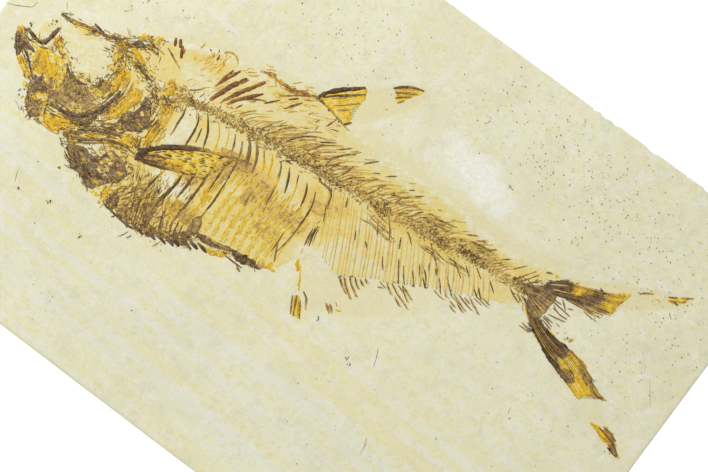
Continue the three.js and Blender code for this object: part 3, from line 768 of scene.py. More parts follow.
# ---- the head ----
# The skull fell flat and broke: jaws, cheek and gill-cover bones overlap from the snout to the
# shoulder. The thick edges are nearly black, and the thin plates between them amber.

HEAD_LIFT = 0.56  # the thicker splinters lie on top of the plates
brown_bone = bone_finish("brown skull bone", 0.2, 0.34, 0.36, ash=0.35, shards=0.3, fibres=0.3, grain_turn=24)
amber_bone = bone_finish("amber skull bone", 0.12, 0.14, 0.46, shards=0.2, fibres=0.16, grain_turn=-40)
shoulder_bone = bone_finish(
    "polished shoulder bone", 0.24, 0.3, 0.2, ash=0.7, crackle=0.8, shards=0.34, fibres=0.34, grain_turn=14
)
cheek_finish = bone_finish("khaki cheek bone", 0.2, 0.36, 0.4, ash=0.2, tones=KHAKI, shards=0.34, fibres=0.34, grain_turn=30)

bones(
    "lower_jaw_bone", brown_bone, "lower_jaw", slot="brown_bone",
    plates=[
        (0.9, 0.2, [(-149.4, -6.6), (-147, -5), (-144.5, -6.4), (-142, -7.4), (-138.6, -8.6),
                    (-138.2, -9.8), (-141, -10.6), (-142.6, -12), (-143.3, -14.8), (-147, -12)],
         (1.6, 0.42, 0.7, [(-148.4, -8.4), (-144.6, -13)]), (1.2, 0.1, 0.9, [(-147, -8), (-144.5, -11)]),
         (1.4, 0.62, 0.7, [(-146.5, -6.4), (-144, -7.4)])),
        (0.8, 0.68, [(-143.2, -15), (-141.6, -13.4), (-138.6, -14.8), (-135.5, -16.7), (-132.6, -19),
                     (-133.2, -20.4), (-136.8, -19.1), (-140, -17.4)],
         (1.0, 0.85, 0.6, [(-142, -14.6), (-137, -17.6)])),
        (0.8, 0.62, [(-149.9, -5), (-148.6, -3.5), (-146.8, -3.8), (-146.6, -5.2), (-148, -6.8), (-149.4, -6.7)]),
        (0.5, 0.86, [(-142.8, -6.4), (-140.2, -5.6), (-137.8, -6.5), (-138.3, -8.2), (-141.4, -8)]),
        (0.6, 0.9, [(-134.5, -21), (-131, -21.4), (-131.6, -24), (-135, -22.6)]),
    ],
    rays=[
        (1.0, 1.15, [(-142.6, -10.8, 0.15), (-139.5, -12.4, 0.08), (-136.2, -15.4, 0.1), (-132.4, -18.4, 0.3)]),
        (0.8, 1.2, [(-146.4, -7.9, 0.3), (-142, -9, 0.12), (-138.2, -9.4, 0.12)]),
        (0.8, 1.2, [(-144.2, -10, 0.25), (-141, -11.8, 0.12), (-138.4, -13.4, 0.25)]),
        (0.7, 1.2, [(-148.8, -7.6, 0.15), (-146.6, -10.8, 0.1), (-143.9, -14.3, 0.1)]),
        (0.7, 1.0, [(-142.8, -12.4, 0.2), (-143.3, -14.8, 0.15)]),
    ],
    strewn=[([(-148, -6.6), (-143, -10.6), (-133, -18.4)], 3, 39, 2.2, 0.4, (0.0, 0.5), 14),
            ([(-147, -6), (-141, -7.2), (-138, -8.4)], 1.6, 15, 1.6, 0.4, (0.66, 0.95), 24),
            ([(-142, -14.6), (-134, -19.4)], 1.6, 14, 2.4, 0.4, (0.55, 0.9), 10)],
    lift=HEAD_LIFT, crumbled=[([(-148, -6.6), (-142, -10.6), (-133, -18.6)], 2.6, 50, 0.7, (0.1, 0.95))],
)

bones(
    "upper_jaw_bone", brown_bone, "upper_jaw", slot="brown_bone",
    rays=[
        (1.6, 1.0, [(-147.4, -4.3, 0.35), (-144.8, -3.7, 0.15), (-142, -4.5, 0.12), (-139, -4.9, 0.1), (-137.3, -4.2, 0.1)]),
        (1.9, 1.1, [(-138.8, -5, 0.15), (-137.2, -3.8, 0.08), (-136.5, -1, 0.1), (-136.1, 2, 0.12), (-136, 4.6, 0.15)]),
        (0.8, 1.0, [(-145.6, -5.8, 0.2), (-143, -6.6, 0.3), (-141, -6.4, 0.5)]),
        (1.0, 1.0, [(-138, -6.4, 0.15), (-136.6, -6, 0.2), (-134.6, -4.8, 0.35)]),
        (0.6, 0.8, [(-135.6, 5.6, 0.6), (-135.4, 3.4, 0.5)]),
    ],
    strewn=[([(-147.4, -4.3), (-139, -5), (-136.4, -1), (-136, 4)], 1.4, 28, 1.6, 0.38, (0.05, 0.5), 26)],
    lift=HEAD_LIFT, crumbled=[([(-147.4, -4.3), (-139, -5), (-136.6, -3)], 1.6, 30, 0.6, (0.1, 0.9))],
)

bones(
    "nasal_bone_patch", amber_bone, "nasal_bone", slot="amber_bone",
    plates=[
        (0.6, 0.66, [(-134.6, 1.6), (-132.6, 2.5), (-130.7, 1.4), (-130.2, -2.2), (-132.5, -3.2), (-135, -2)],
         (1.4, 0.45, 0.7, [(-133.5, -1.5), (-131.5, -2.5)]), (1.0, 0.45, 0.7, [(-133.5, 1.2), (-131.2, 0.8)]),
         (1.2, 0.9, 0.8, [(-133.4, 0), (-131.6, -0.4)])),
        (0.4, 0.86, [(-130.4, -1), (-127, -2), (-124, -4.6), (-127, -4.8), (-131.5, -3.6)]),
    ],
    rays=[(0.5, 0.8, [(-130.3, 1.8, 0.45), (-130.2, 0, 0.5), (-129.8, -2, 0.75)])],
    strewn=[([(-134, 1.4), (-131, -2), (-124, -4.8)], 3, 30, 1.6, 0.38, (0.25, 0.9), 40)],
    lift=HEAD_LIFT, crumbled=[([(-134, 1.6), (-131, -1.6), (-126, -4)], 3, 40, 0.6, (0.2, 0.9))],
)

bones(
    "palate_bone", amber_bone, "palate_plate", slot="amber_bone",
    plates=[
        (0.9, 0.7, [(-138, -7), (-134.6, -5), (-131, -4.8), (-127.6, -4.2), (-124.8, -6.4), (-122.2, -9.5),
                    (-121.4, -13.5), (-125.6, -13.8), (-129, -14.2), (-131.6, -16), (-134.6, -15.4), (-137.8, -11)],
         (2.6, 0.92, 0.85, [(-127.6, -6), (-124.6, -9.4), (-122.6, -13)]),
         (1.5, 1.08, 0.9, [(-131.6, -6.2), (-129.4, -8.4)]),
         (1.8, 0.88, 0.8, [(-133.4, -6.2), (-130.4, -9), (-127, -12.6)]),
         (0.9, 0.42, 0.8, [(-136.6, -7.6), (-135.2, -10.6), (-134.2, -14)]),
         (1.0, 0.45, 0.6, [(-129.6, -9.4), (-128, -11.4)]),
         (1.4, 0.55, 0.6, [(-133.4, -10), (-131.6, -13)]),
         (0.9, 0.86, 0.7, [(-138, -9), (-136.8, -12)])),
        (0.7, 0.8, [(-124.6, -9.5), (-121.8, -9), (-120.8, -13), (-121.6, -17), (-123.4, -16.4)],
         (0.9, 0.4, 0.8, [(-122.3, -9.5), (-121.4, -13)])),
    ],
    strewn=[([(-137, -7.6), (-130, -8), (-123, -11)], 7, 56, 2.8, 0.42, (0.35, 0.98), 14, -44),
            ([(-137, -10), (-131, -13), (-124, -13)], 4, 28, 2.4, 0.4, (0.2, 0.7), 20, -40),
            ([(-124, -9), (-122, -16)], 3.4, 18, 2, 0.4, (0.2, 0.8), 26)],
    lift=HEAD_LIFT, crumbled=[([(-137, -8), (-130, -10), (-123, -13)], 6, 70, 0.7, (0.3, 1.1))],
)

bones(
    "jaw_joint_bone", shoulder_bone, "jaw_joint", slot="brown_bone",
    plates=[
        (1.0, 0.36, [(-131.6, -17), (-129.4, -15), (-126, -14), (-123.6, -16), (-121.4, -18.5), (-121.2, -23),
                     (-122, -26), (-120.5, -29), (-122.5, -30.8), (-125, -31.6), (-128, -29.4), (-130.5, -25.4),
                     (-132.9, -20)],
         (3.4, 0.16, 0.8, [(-130, -17.6), (-126.6, -18.4), (-127, -20.6)]),
         (1.2, 0.1, 0.9, [(-127.4, -14.2), (-125.8, -15)]),
         (1.4, 1.1, 0.75, [(-128.2, -15.7), (-126.4, -15.9)]),
         (2.6, 1.1, 0.8, [(-126.6, -22.8), (-124, -22)]),
         (1.6, 0.9, 0.8, [(-128.4, -24.2), (-126.6, -24)]),
         (1.4, 0.72, 0.8, [(-129, -26), (-128, -28)]),
         (1.6, 0.88, 0.8, [(-122.4, -25.4), (-121.8, -23.8)]),
         (1.6, 0.2, 0.8, [(-125, -31), (-124, -30)]),
         (1.8, 0.85, 0.7, [(-121.6, -27), (-119.6, -29.6)])),
    ],
    rays=[
        (0.8, 1.05, [(-132.8, -19.4, 0.3), (-131, -23.4, 0.25), (-128.4, -27, 0.2), (-126.6, -29.2, 0.35)]),
        (0.7, 1.05, [(-121.4, -23.4, 0.3), (-120.9, -25.6, 0.35), (-119.6, -28.2, 0.5), (-118, -30, 0.6)]),
        (0.8, 1.0, [(-122.6, -30.2, 0.3), (-120.6, -31, 0.35), (-117.8, -31.3, 0.55)]),
    ],
    strewn=[([(-130, -17), (-126, -19), (-123, -19)], 5, 62, 2, 0.42, (0.0, 0.8), 50),
            ([(-130, -22), (-126, -26), (-123, -30)], 5, 62, 2.2, 0.42, (0.05, 0.9), 44),
            ([(-132.6, -20), (-128, -27.6), (-124, -31)], 1.4, 21, 2.2, 0.4, (0.1, 0.5), 14)],
    lift=HEAD_LIFT, crumbled=[([(-130, -17), (-126, -20), (-124, -29)], 6, 130, 0.8, (0.05, 1.15))],
)

bones(
    "cheek_bone", cheek_finish, "cheek_plate", slot="brown_bone",
    plates=[
        (0.9, 0.45, [(-124.6, -5.6), (-121.6, -8.4), (-118, -9), (-115, -8.2), (-111, -8.4), (-107, -9.6),
                     (-103.6, -10), (-102.4, -12), (-104.4, -15.4), (-106.6, -18), (-110, -19.8), (-115, -20.8),
                     (-120, -20.6), (-122.6, -17.4), (-121.6, -12)],
         (1.8, 0.12, 0.95, [(-124.6, -6), (-121.4, -8.2), (-118.4, -8.8), (-115.6, -8.2)]),
         (3.2, 0.3, 0.6, [(-119, -11), (-114, -10.6)]),
         (3, 0.32, 0.6, [(-119.6, -15), (-119, -19)]),
         (2.2, 0.74, 0.85, [(-113, -17), (-109.6, -17.4)]),
         (1.4, 0.76, 0.85, [(-107.6, -16.8), (-105.4, -18)]),
         (1.4, 0.72, 0.85, [(-114.6, -19.4), (-112, -19.2)]),
         (1.2, 0.2, 0.8, [(-111.2, -18.2), (-110.8, -18.4)]),
         (4, 0.6, 0.6, [(-107, -12), (-105, -13)]), (1.2, 0.12, 0.8, [(-116, -12.6), (-110, -13)]),
         (1.0, 0.14, 0.8, [(-120, -13), (-116, -15.6), (-111, -15.4)]), (1.4, 0.98, 0.8, [(-107.4, -9.6), (-104.6, -11)])),
        (0.5, 0.84, [(-114.4, -6.6), (-111, -5), (-108.6, -6), (-107.4, -8.6), (-110, -9.4), (-113, -8.6)]),
    ],
    rays=[
        (1.5, 1.15, [(-124.9, -5.2, 0.3), (-122.6, -7.2, 0.14), (-119.4, -8.6, 0.08), (-115.4, -8.2, 0.16), (-113.6, -7.6, 0.4)]),
        (0.6, 1.0, [(-110, -9.4, 0.3), (-107.2, -10.2, 0.35), (-104.6, -10.6, 0.45)]),
        (0.7, 1.0, [(-122.2, -9.6, 0.4), (-121.3, -13, 0.35), (-122, -17, 0.45)]),
    ],
    strewn=[([(-121, -12), (-112, -12), (-105, -13)], 7, 91, 2.4, 0.42, (0.1, 0.75), 34),
            ([(-120, -18), (-112, -18.6), (-106, -17)], 4, 56, 2.2, 0.42, (0.1, 0.85), 30),
            ([(-124.6, -6), (-119, -9), (-113, -8)], 1.8, 28, 2, 0.4, (0.0, 0.4), 16)],
    lift=HEAD_LIFT, crumbled=[([(-121, -12), (-113, -15), (-105, -14)], 9, 170, 0.7, (0.1, 0.95)),
              ([(-114, -7), (-108, -7.4)], 3, 30, 0.7, (0.5, 1.0))],
)

bones(
    "preopercle_bone", brown_bone, "preopercle", slot="brown_bone",
    plates=[
        (0.9, 0.24, [(-108.6, -20), (-105.6, -17.6), (-103.4, -13.6), (-101.2, -11), (-101.4, -15.4), (-101.8, -18.6),
                     (-103.4, -21.6), (-106.2, -23.8), (-109.8, -23.6), (-113.6, -23.4), (-114, -21.4)],
         (1.4, 0.55, 0.7, [(-104.8, -19.6), (-103.6, -17.4)]), (1.6, 0.12, 0.9, [(-104, -22), (-107, -23)])),
    ],
    rays=[
        (2.0, 1.25, [(-100.4, -1.2, 0.2), (-100.6, -5, 0.14), (-101.6, -9.4, 0.1), (-103.3, -13.6, 0.08),
                     (-106, -17.6, 0.1), (-109.2, -20.4, 0.1), (-113, -21.6, 0.16), (-117, -22.4, 0.24), (-121, -22, 0.4)]),
        (0.6, 1.1, [(-101.9, -0.6, 0.4), (-102.4, -4.6, 0.35), (-103.4, -9.4, 0.4), (-105, -13.4, 0.5)]),
        (0.6, 1.1, [(-99, -1.4, 0.3), (-99.2, -5.4, 0.3), (-100, -9.6, 0.35), (-101.2, -13.4, 0.4)]),
        (0.8, 1.1, [(-97.6, -1.6, 0.4), (-98.4, -5, 0.45), (-99.4, -8.6, 0.5), (-99.8, -12, 0.55)]),
        (0.8, 1.1, [(-105.4, -24.6, 0.15), (-103, -22.6, 0.1), (-100.4, -20.6, 0.2), (-97.6, -19.6, 0.35)]),
    ],
    strewn=[([(-100, -2), (-101.4, -9.4), (-105.4, -17.6), (-112, -21.6), (-120, -22.6)], 3.4, 77, 3.6, 0.42, (0.0, 0.5), 7),
            ([(-104.6, -19), (-107, -22), (-112, -22.6)], 3, 28, 2.2, 0.4, (0.2, 0.9), 24),
            ([(-98, -3), (-99, -13), (-102, -20)], 2, 21, 3, 0.4, (0.5, 0.95), 8)],
    lift=HEAD_LIFT, crumbled=[([(-101, -10), (-105, -18), (-112, -22)], 3.4, 60, 0.7, (0.1, 0.9))],
)

bones(
    "skull_roof_bone", brown_bone, "skull_roof", slot="brown_bone",
    plates=[
        (1.0, 0.22, [(-109.4, 16.6), (-107.6, 18.6), (-106.6, 20.2), (-103.6, 20), (-100.4, 20.6), (-101.4, 19.4),
                     (-103.6, 18), (-105, 16.6), (-107, 17)]),
        (0.5, 0.8, [(-106.6, 20.4), (-107.2, 22.6), (-105.4, 24), (-104.2, 23), (-105.4, 20.8)]),
        (0.5, 0.84, [(-103.4, 23), (-101, 26.4), (-99, 27), (-99.4, 23.6), (-101.6, 22)]),
    ],
    rays=[
        (1.4, 1.0, [(-138.6, 9.6, 0.2), (-137, 9.9, 0.15), (-134, 9.9, 0.4), (-131, 10.2, 0.6), (-128, 11.3, 0.45),
                    (-125.4, 12.4, 0.4), (-123, 13.2, 0.25)]),
        (1.0, 1.0, [(-130.4, 10, 0.75), (-127.4, 10.8, 0.72), (-124.8, 11.6, 0.6)]),
        (1.1, 1.0, [(-125.3, 14.6, 0.2), (-123, 14.2, 0.12), (-119.8, 13.6, 0.15)]),
        (0.9, 1.0, [(-124.8, 11.5, 0.15), (-122.6, 12.6, 0.2), (-120.6, 13.2, 0.2)]),
        (1.5, 1.0, [(-122, 13.4, 0.3), (-119, 13.2, 0.3), (-116.4, 14.4, 0.35), (-114.4, 15.2, 0.25), (-111.6, 15.4, 0.4),
                    (-109, 16.4, 0.3), (-106.6, 18, 0.2)]),
        (0.8, 0.9, [(-113.4, 15.2, 0.35), (-112, 17.4, 0.4)]),
        (0.9, 0.9, [(-103.8, 22.8, 0.35), (-102, 22, 0.3)]),
        (0.8, 1.1, [(-103, 20.4, 0.2), (-100.6, 21.4, 0.3), (-97.6, 21.8, 0.5), (-95, 21.4, 0.6)]),
        (0.7, 0.9, [(-98.2, 21.2, 0.45), (-96.4, 19.2, 0.4)]),
        (0.6, 0.8, [(-95.6, 20, 0.4), (-94.6, 17.4, 0.5)]),
        (0.8, 0.8, [(-97.9, 25.6, 0.3), (-97.6, 24, 0.35)]),
        (1.3, 0.8, [(-138.9, 6.2, 0.2), (-138, 6, 0.3)]),
    ],
    strewn=[([(-138, 9.6), (-128, 11), (-119, 13.2), (-109, 16.4)], 1.8, 77, 2.2, 0.4, (0.15, 0.8), 14),
            ([(-112, 15), (-105, 18.6), (-98, 21.4)], 3, 49, 2.2, 0.4, (0.1, 0.7), 30),
            ([(-106, 21.6), (-99, 25)], 3, 23, 2, 0.4, (0.3, 0.9), 40)],
    lift=HEAD_LIFT, crumbled=[([(-138, 9.6), (-125, 12), (-109, 16), (-100, 20.6)], 2, 110, 0.6, (0.1, 0.8))],
)

bones(
    "braincase_bone", amber_bone, "braincase", slot="amber_bone",
    plates=[
        (0.8, 0.68, [(-107.6, 16.4), (-104.8, 17), (-102, 15.8), (-99, 14.2), (-98, 12.4), (-101, 12), (-104.6, 13)],
         (1.2, 0.35, 0.8, [(-104, 13.2), (-101, 12.4), (-99, 13)])),
        (0.8, 0.48, [(-114.6, 14), (-112, 16), (-109.4, 16), (-107.6, 14), (-108.8, 11.2), (-111, 10.6), (-113.4, 12)],
         (1.4, 0.3, 0.7, [(-113, 15), (-110, 14.4)]), (1.0, 0.75, 0.7, [(-109, 13), (-107.8, 12.6)])),
        (0.6, 0.8, [(-113.6, 10.6), (-110, 11.4), (-108, 9), (-107, 6.6), (-108.6, 7.4), (-111.4, 9.2)]),
        (0.6, 0.76, [(-105.4, 7.6), (-102.4, 7.6), (-100.4, 6), (-101.6, 3.6), (-104, 2.6), (-105.6, 4.6)],
         (1.8, 0.5, 0.7, [(-105, 4.6), (-103, 3.6)])),
    ],
    rays=[
        (1.0, 0.9, [(-109.6, 13, 0.3), (-107.2, 12, 0.4), (-104.8, 12.4, 0.4)]),
        (0.9, 0.9, [(-108.6, 12, 0.4), (-107.8, 9.6, 0.3), (-107.4, 7.8, 0.25)]),
        (1.2, 0.9, [(-102, 11.6, 0.25), (-100, 11, 0.2), (-97.2, 10.4, 0.3), (-93.6, 9.8, 0.3), (-91.6, 10.2, 0.4)]),
        (0.9, 0.9, [(-94.6, 11, 0.35), (-93.4, 11.6, 0.35)]),
        (0.8, 0.8, [(-105.6, 6.8, 0.4), (-106.6, 4.4, 0.3), (-107.3, 1.4, 0.25), (-107.1, -1, 0.3)]),
    ],
    strewn=[([(-114, 13.4), (-108, 13), (-99, 12.4)], 5, 77, 2.2, 0.4, (0.15, 0.9), 26),
            ([(-110, 11), (-107, 6), (-106, 0)], 4, 56, 2, 0.4, (0.2, 0.9), 40),
            ([(-101, 11), (-95, 10), (-90, 9)], 2.4, 42, 2, 0.4, (0.1, 0.6), 24),
            ([(-105, 6), (-101, 5)], 4, 28, 1.8, 0.4, (0.4, 0.95), 60)],
    lift=HEAD_LIFT, crumbled=[([(-113, 13), (-106, 10), (-98, 12), (-91, 10)], 5, 150, 0.65, (0.15, 1.0)),
              ([(-108, 8), (-105, 2)], 4, 60, 0.65, (0.2, 0.9))],
)

bones(
    "hyomandibular_bone", amber_bone, "hyomandibular", slot="amber_bone",
    plates=[
        (0.7, 0.75, [(-105.4, 2.6), (-102.4, 4.4), (-101.2, 1), (-101.6, -3), (-103.4, -5), (-104.6, -2.6)],
         (0.9, 0.6, 0.6, [(-103, 1), (-102.4, -3)])),
        (0.8, 0.4, [(-109.6, -1.4), (-107, -0.6), (-104.6, -0.8), (-104, -4), (-105.6, -8.6), (-109, -8.8), (-111.6, -7.6),
                    (-110, -4.6)],
         (1.6, 0.12, 0.9, [(-109, -2.2), (-108.4, -4.4)]), (2.2, 1.0, 0.8, [(-109, -7.6), (-106.4, -7.2)]),
         (2, 0.6, 0.6, [(-107.4, -4.6), (-105.4, -5)])),
    ],
    rays=[(0.9, 1.0, [(-109.4, -2, 0.15), (-108, -4.4, 0.2), (-109.6, -6.4, 0.4)])],
    strewn=[([(-109, -2), (-107, -5), (-107, -8)], 4, 42, 1.8, 0.4, (0.1, 0.9), 50),
            ([(-103, 3), (-102.6, -4)], 3, 28, 2, 0.4, (0.4, 0.95), 20)],
    lift=HEAD_LIFT, crumbled=[([(-109, -2), (-106, -6), (-103, 1)], 4, 80, 0.65, (0.1, 1.1))],
)

bones(
    "opercle_bone", brown_bone, "opercle", slot="brown_bone",
    plates=[
        (0.9, 0.7, [(-96.6, 3.6), (-93.2, 4.4), (-91.6, 3), (-91.2, -1), (-93, -4.6), (-93.8, -8.8), (-95.2, -12),
                    (-98.6, -12.8), (-100, -10), (-98.8, -5.6), (-97.6, -1)],
         (1.2, 0.84, 0.7, [(-98.4, -7), (-96.8, -11.4)]), (1.2, 0.85, 0.6, [(-96, 2), (-94.6, -1)])),
        (1.0, 0.26, [(-91, 3), (-88.6, 3.6), (-86, 1.4), (-84, -2), (-82.8, -6), (-83.4, -9.4), (-87.4, -12.4), (-90, -14),
                     (-93.4, -14.6), (-96.6, -15.8), (-98.4, -18.6), (-99.4, -18), (-97.8, -15), (-94.4, -12.4),
                     (-94.4, -8.6), (-92.6, -5.4), (-90.8, -3.4)],
         (2.0, 0.44, 0.7, [(-86.2, -7), (-84.4, -8.6)]), (1.6, 0.5, 0.7, [(-92.6, -8.4), (-91.6, -9.6)]),
         (1.4, 0.08, 0.8, [(-90, -2), (-89, -7), (-91, -10)]), (1.0, 0.9, 0.7, [(-95.6, -16.4), (-92, -15)]),
         (2.4, 0.16, 0.9, [(-88.6, 1.6), (-88.2, -2.6)]), (0.8, 0.62, 0.7, [(-86, -1), (-85, -5)]), (1.0, 1.12, 0.9, [(-88.2, -3.2), (-87.4, -3.8)]),
         (1.0, 1.1, 0.8, [(-92.4, -13), (-91.4, -14.2)]), (2.0, 0.34, 0.7, [(-84.8, -1.4), (-83.4, -6)])),
        (0.7, 0.72, [(-89.4, -14.6), (-86.6, -13.6), (-83.4, -14), (-82, -16), (-83.6, -18), (-88, -18)],
         (1.2, 0.45, 0.6, [(-86.4, -14), (-84, -16.4)])),
        (0.8, 0.7, [(-87.2, 14.8), (-84.8, 15.4), (-82.6, 13), (-82, 10), (-84, 8.2), (-86, 9.6)]),
        # a white painted glint of light on the dark bone
        (1.0, 1.17, [(-90.2, 11.4), (-88.6, 12.4), (-87, 11), (-87.4, 9.2), (-89.4, 9)]),
        (0.7, 0.68, [(-83.6, 5.4), (-80.6, 6), (-78.8, 4.2), (-79.4, 1), (-81, 1.6), (-83, 3.6)]),
    ],
    rays=[
        (1.1, 0.9, [(-90.6, 7.6, 0.3), (-89, 5.4, 0.25), (-87.4, 5.6, 0.3), (-86, 4.2, 0.35)]),
        (1.2, 0.9, [(-85, 8, 0.3), (-83.4, 7, 0.25), (-81.8, 5.8, 0.25), (-80.2, 6.2, 0.4)]),
        (0.8, 0.9, [(-80.3, 10.4, 0.35), (-80, 7.6, 0.45)]),
        (1.0, 0.8, [(-89.8, 4, 1.15), (-88.6, 3.9, 1.15)]),
    ],
    strewn=[([(-96, 3), (-95, -4), (-97, -12)], 4, 42, 3.6, 0.42, (0.5, 0.92), 8),
            ([(-88, 2), (-86, -6), (-90, -12)], 5, 77, 2.8, 0.42, (0.05, 0.6), 14),
            ([(-91, -13), (-98, -17)], 4, 35, 2.2, 0.4, (0.1, 0.8), 30),
            ([(-91, 7), (-86, 4), (-80, 7)], 3.4, 62, 2.2, 0.4, (0.1, 0.6), 34),
            ([(-85, 14), (-83, 9)], 3.4, 28, 2.4, 0.4, (0.5, 0.9), 30), ([(-82, 5), (-79.6, 1)], 3, 21, 2.2, 0.4, (0.5, 0.9), 20)],
    lift=HEAD_LIFT, crumbled=[([(-88, 2), (-86, -6), (-92, -13)], 5, 90, 0.7, (0.1, 1.1)),
              ([(-91, 7), (-86, 4), (-80, 6.6)], 4, 90, 0.7, (0.05, 0.8)), ([(-90, 4), (-87, 3)], 2, 16, 0.8, (1.1, 1.2))],
)

bones(
    "subopercle_bone", brown_bone, "subopercle", slot="brown_bone",
    plates=[
        (0.9, 0.3, [(-109.8, -28.2), (-108, -26), (-106, -23.8), (-103, -22.4), (-101, -22.6), (-103, -25.4),
                    (-105, -27.4), (-106.6, -29.8), (-108.8, -29.8)],
         (1.0, 1.05, 0.8, [(-106.2, -25.2), (-105.6, -24.8)])),
        (0.8, 0.76, [(-101, -21.4), (-97, -20.8), (-94.4, -19.2), (-96.4, -22.2), (-99.6, -24.8), (-101.8, -25.2)],
         (1.0, 0.4, 0.7, [(-100.6, -21.8), (-98, -21.2)])),
    ],
    rays=[
        (1.6, 1.1, [(-104.6, -24.2, 0.12), (-101.2, -21.6, 0.15), (-98, -19.6, 0.3), (-93.6, -17.6, 0.2), (-90, -16.4, 0.3)]),
        (1.3, 1.0, [(-98.4, -17.6, 0.2), (-95.6, -16.6, 0.15), (-92, -15.4, 0.2)]),
        (1.0, 1.1, [(-103.4, -22.8, 0.2), (-101.6, -21.8, 1.1), (-100.8, -21.4, 0.3)]),
    ],
    strewn=[([(-109, -28.6), (-104, -24.6), (-98, -20)], 4, 56, 2.8, 0.42, (0.1, 0.8), 16),
            ([(-98, -19), (-90, -16.4)], 2.6, 35, 3, 0.4, (0.1, 0.6), 10)],
    lift=HEAD_LIFT, crumbled=[([(-109, -28), (-101, -23), (-92, -17)], 3.4, 70, 0.7, (0.1, 1.0))],
)

bones(
    "gular_bone", amber_bone, "gular_plate", slot="amber_bone",
    plates=[
        (0.8, 0.71, [(-120.6, -26.2), (-117, -25.6), (-113.6, -23.6), (-110.2, -23.2), (-108.2, -25.2), (-109.4, -27.4),
                     (-111.6, -30), (-115.6, -30.9), (-118.8, -30.3)],
         (1.4, 0.9, 0.7, [(-119.8, -28), (-113, -29.8)]), (0.8, 0.55, 0.5, [(-117, -26.6), (-112, -26.4)])),
    ],
    rays=[(0.7, 0.9, [(-119, -31.2, 0.45), (-114, -31.3, 0.7), (-110.4, -30.6, 0.8)])],
    strewn=[([(-119, -28.4), (-110, -25.6)], 4, 35, 2.4, 0.42, (0.5, 0.9), 16),
            ([(-119, -26), (-110, -23.6)], 1.6, 16, 2.2, 0.4, (0.1, 0.5), 12)],
    lift=HEAD_LIFT, crumbled=[([(-119, -29), (-110, -27)], 3.4, 40, 0.7, (0.4, 1.0))],
)

bones(
    "cleithrum_bone", brown_bone, "cleithrum", slot="brown_bone",
    plates=[
        (0.7, 0.7, [(-80.8, -0.4), (-78, -0.6), (-77.4, -6), (-78.2, -12), (-80, -14), (-81.4, -10)],
         (0.6, 0.5, 0.7, [(-79, -3), (-79.2, -11)])),
        (0.8, 0.34, [(-83.2, -12.8), (-81.4, -12.4), (-80.4, -15), (-81.6, -16.4), (-83, -15)]),
    ],
    rays=[
        (1.2, 1.1, [(-106.6, -30, 0.3), (-103.4, -27.8, 0.35), (-99.4, -25.4, 0.3), (-96, -22.6, 0.3), (-92.4, -20.4, 0.25),
                    (-88, -19, 0.2), (-84, -18.4, 0.3), (-80.6, -18.6, 0.4)]),
        (0.7, 1.0, [(-103, -28.8, 0.5), (-99, -26.6, 0.45), (-95.6, -24, 0.45), (-92, -21.6, 0.5), (-89.4, -20.6, 0.55)]),
        (0.7, 1.0, [(-97.6, -20.6, 0.5), (-94.4, -19.2, 0.4), (-91.4, -18.6, 0.4)]),
        (0.6, 0.9, [(-81.2, -1, 0.35), (-81.4, -6, 0.3), (-80.8, -10.6, 0.4)]),
    ],
    strewn=[([(-106, -29.8), (-99, -25.4), (-90, -19.8), (-81, -18.4)], 2.2, 49, 3.4, 0.4, (0.15, 0.7), 7),
            ([(-79.4, 0), (-79, -13)], 3.4, 49, 3.6, 0.4, (0.4, 0.9), 7),
            ([(-84, -13), (-81, -16)], 2.4, 21, 1.8, 0.4, (0.1, 0.6), 40),
            ([(-94, -22.6), (-84, -21)], 3, 42, 2.4, 0.38, (0.7, 0.98), 24)],
    lift=HEAD_LIFT, crumbled=[([(-84, -12.6), (-81, -16)], 3, 40, 0.7, (0.1, 0.9))],
)

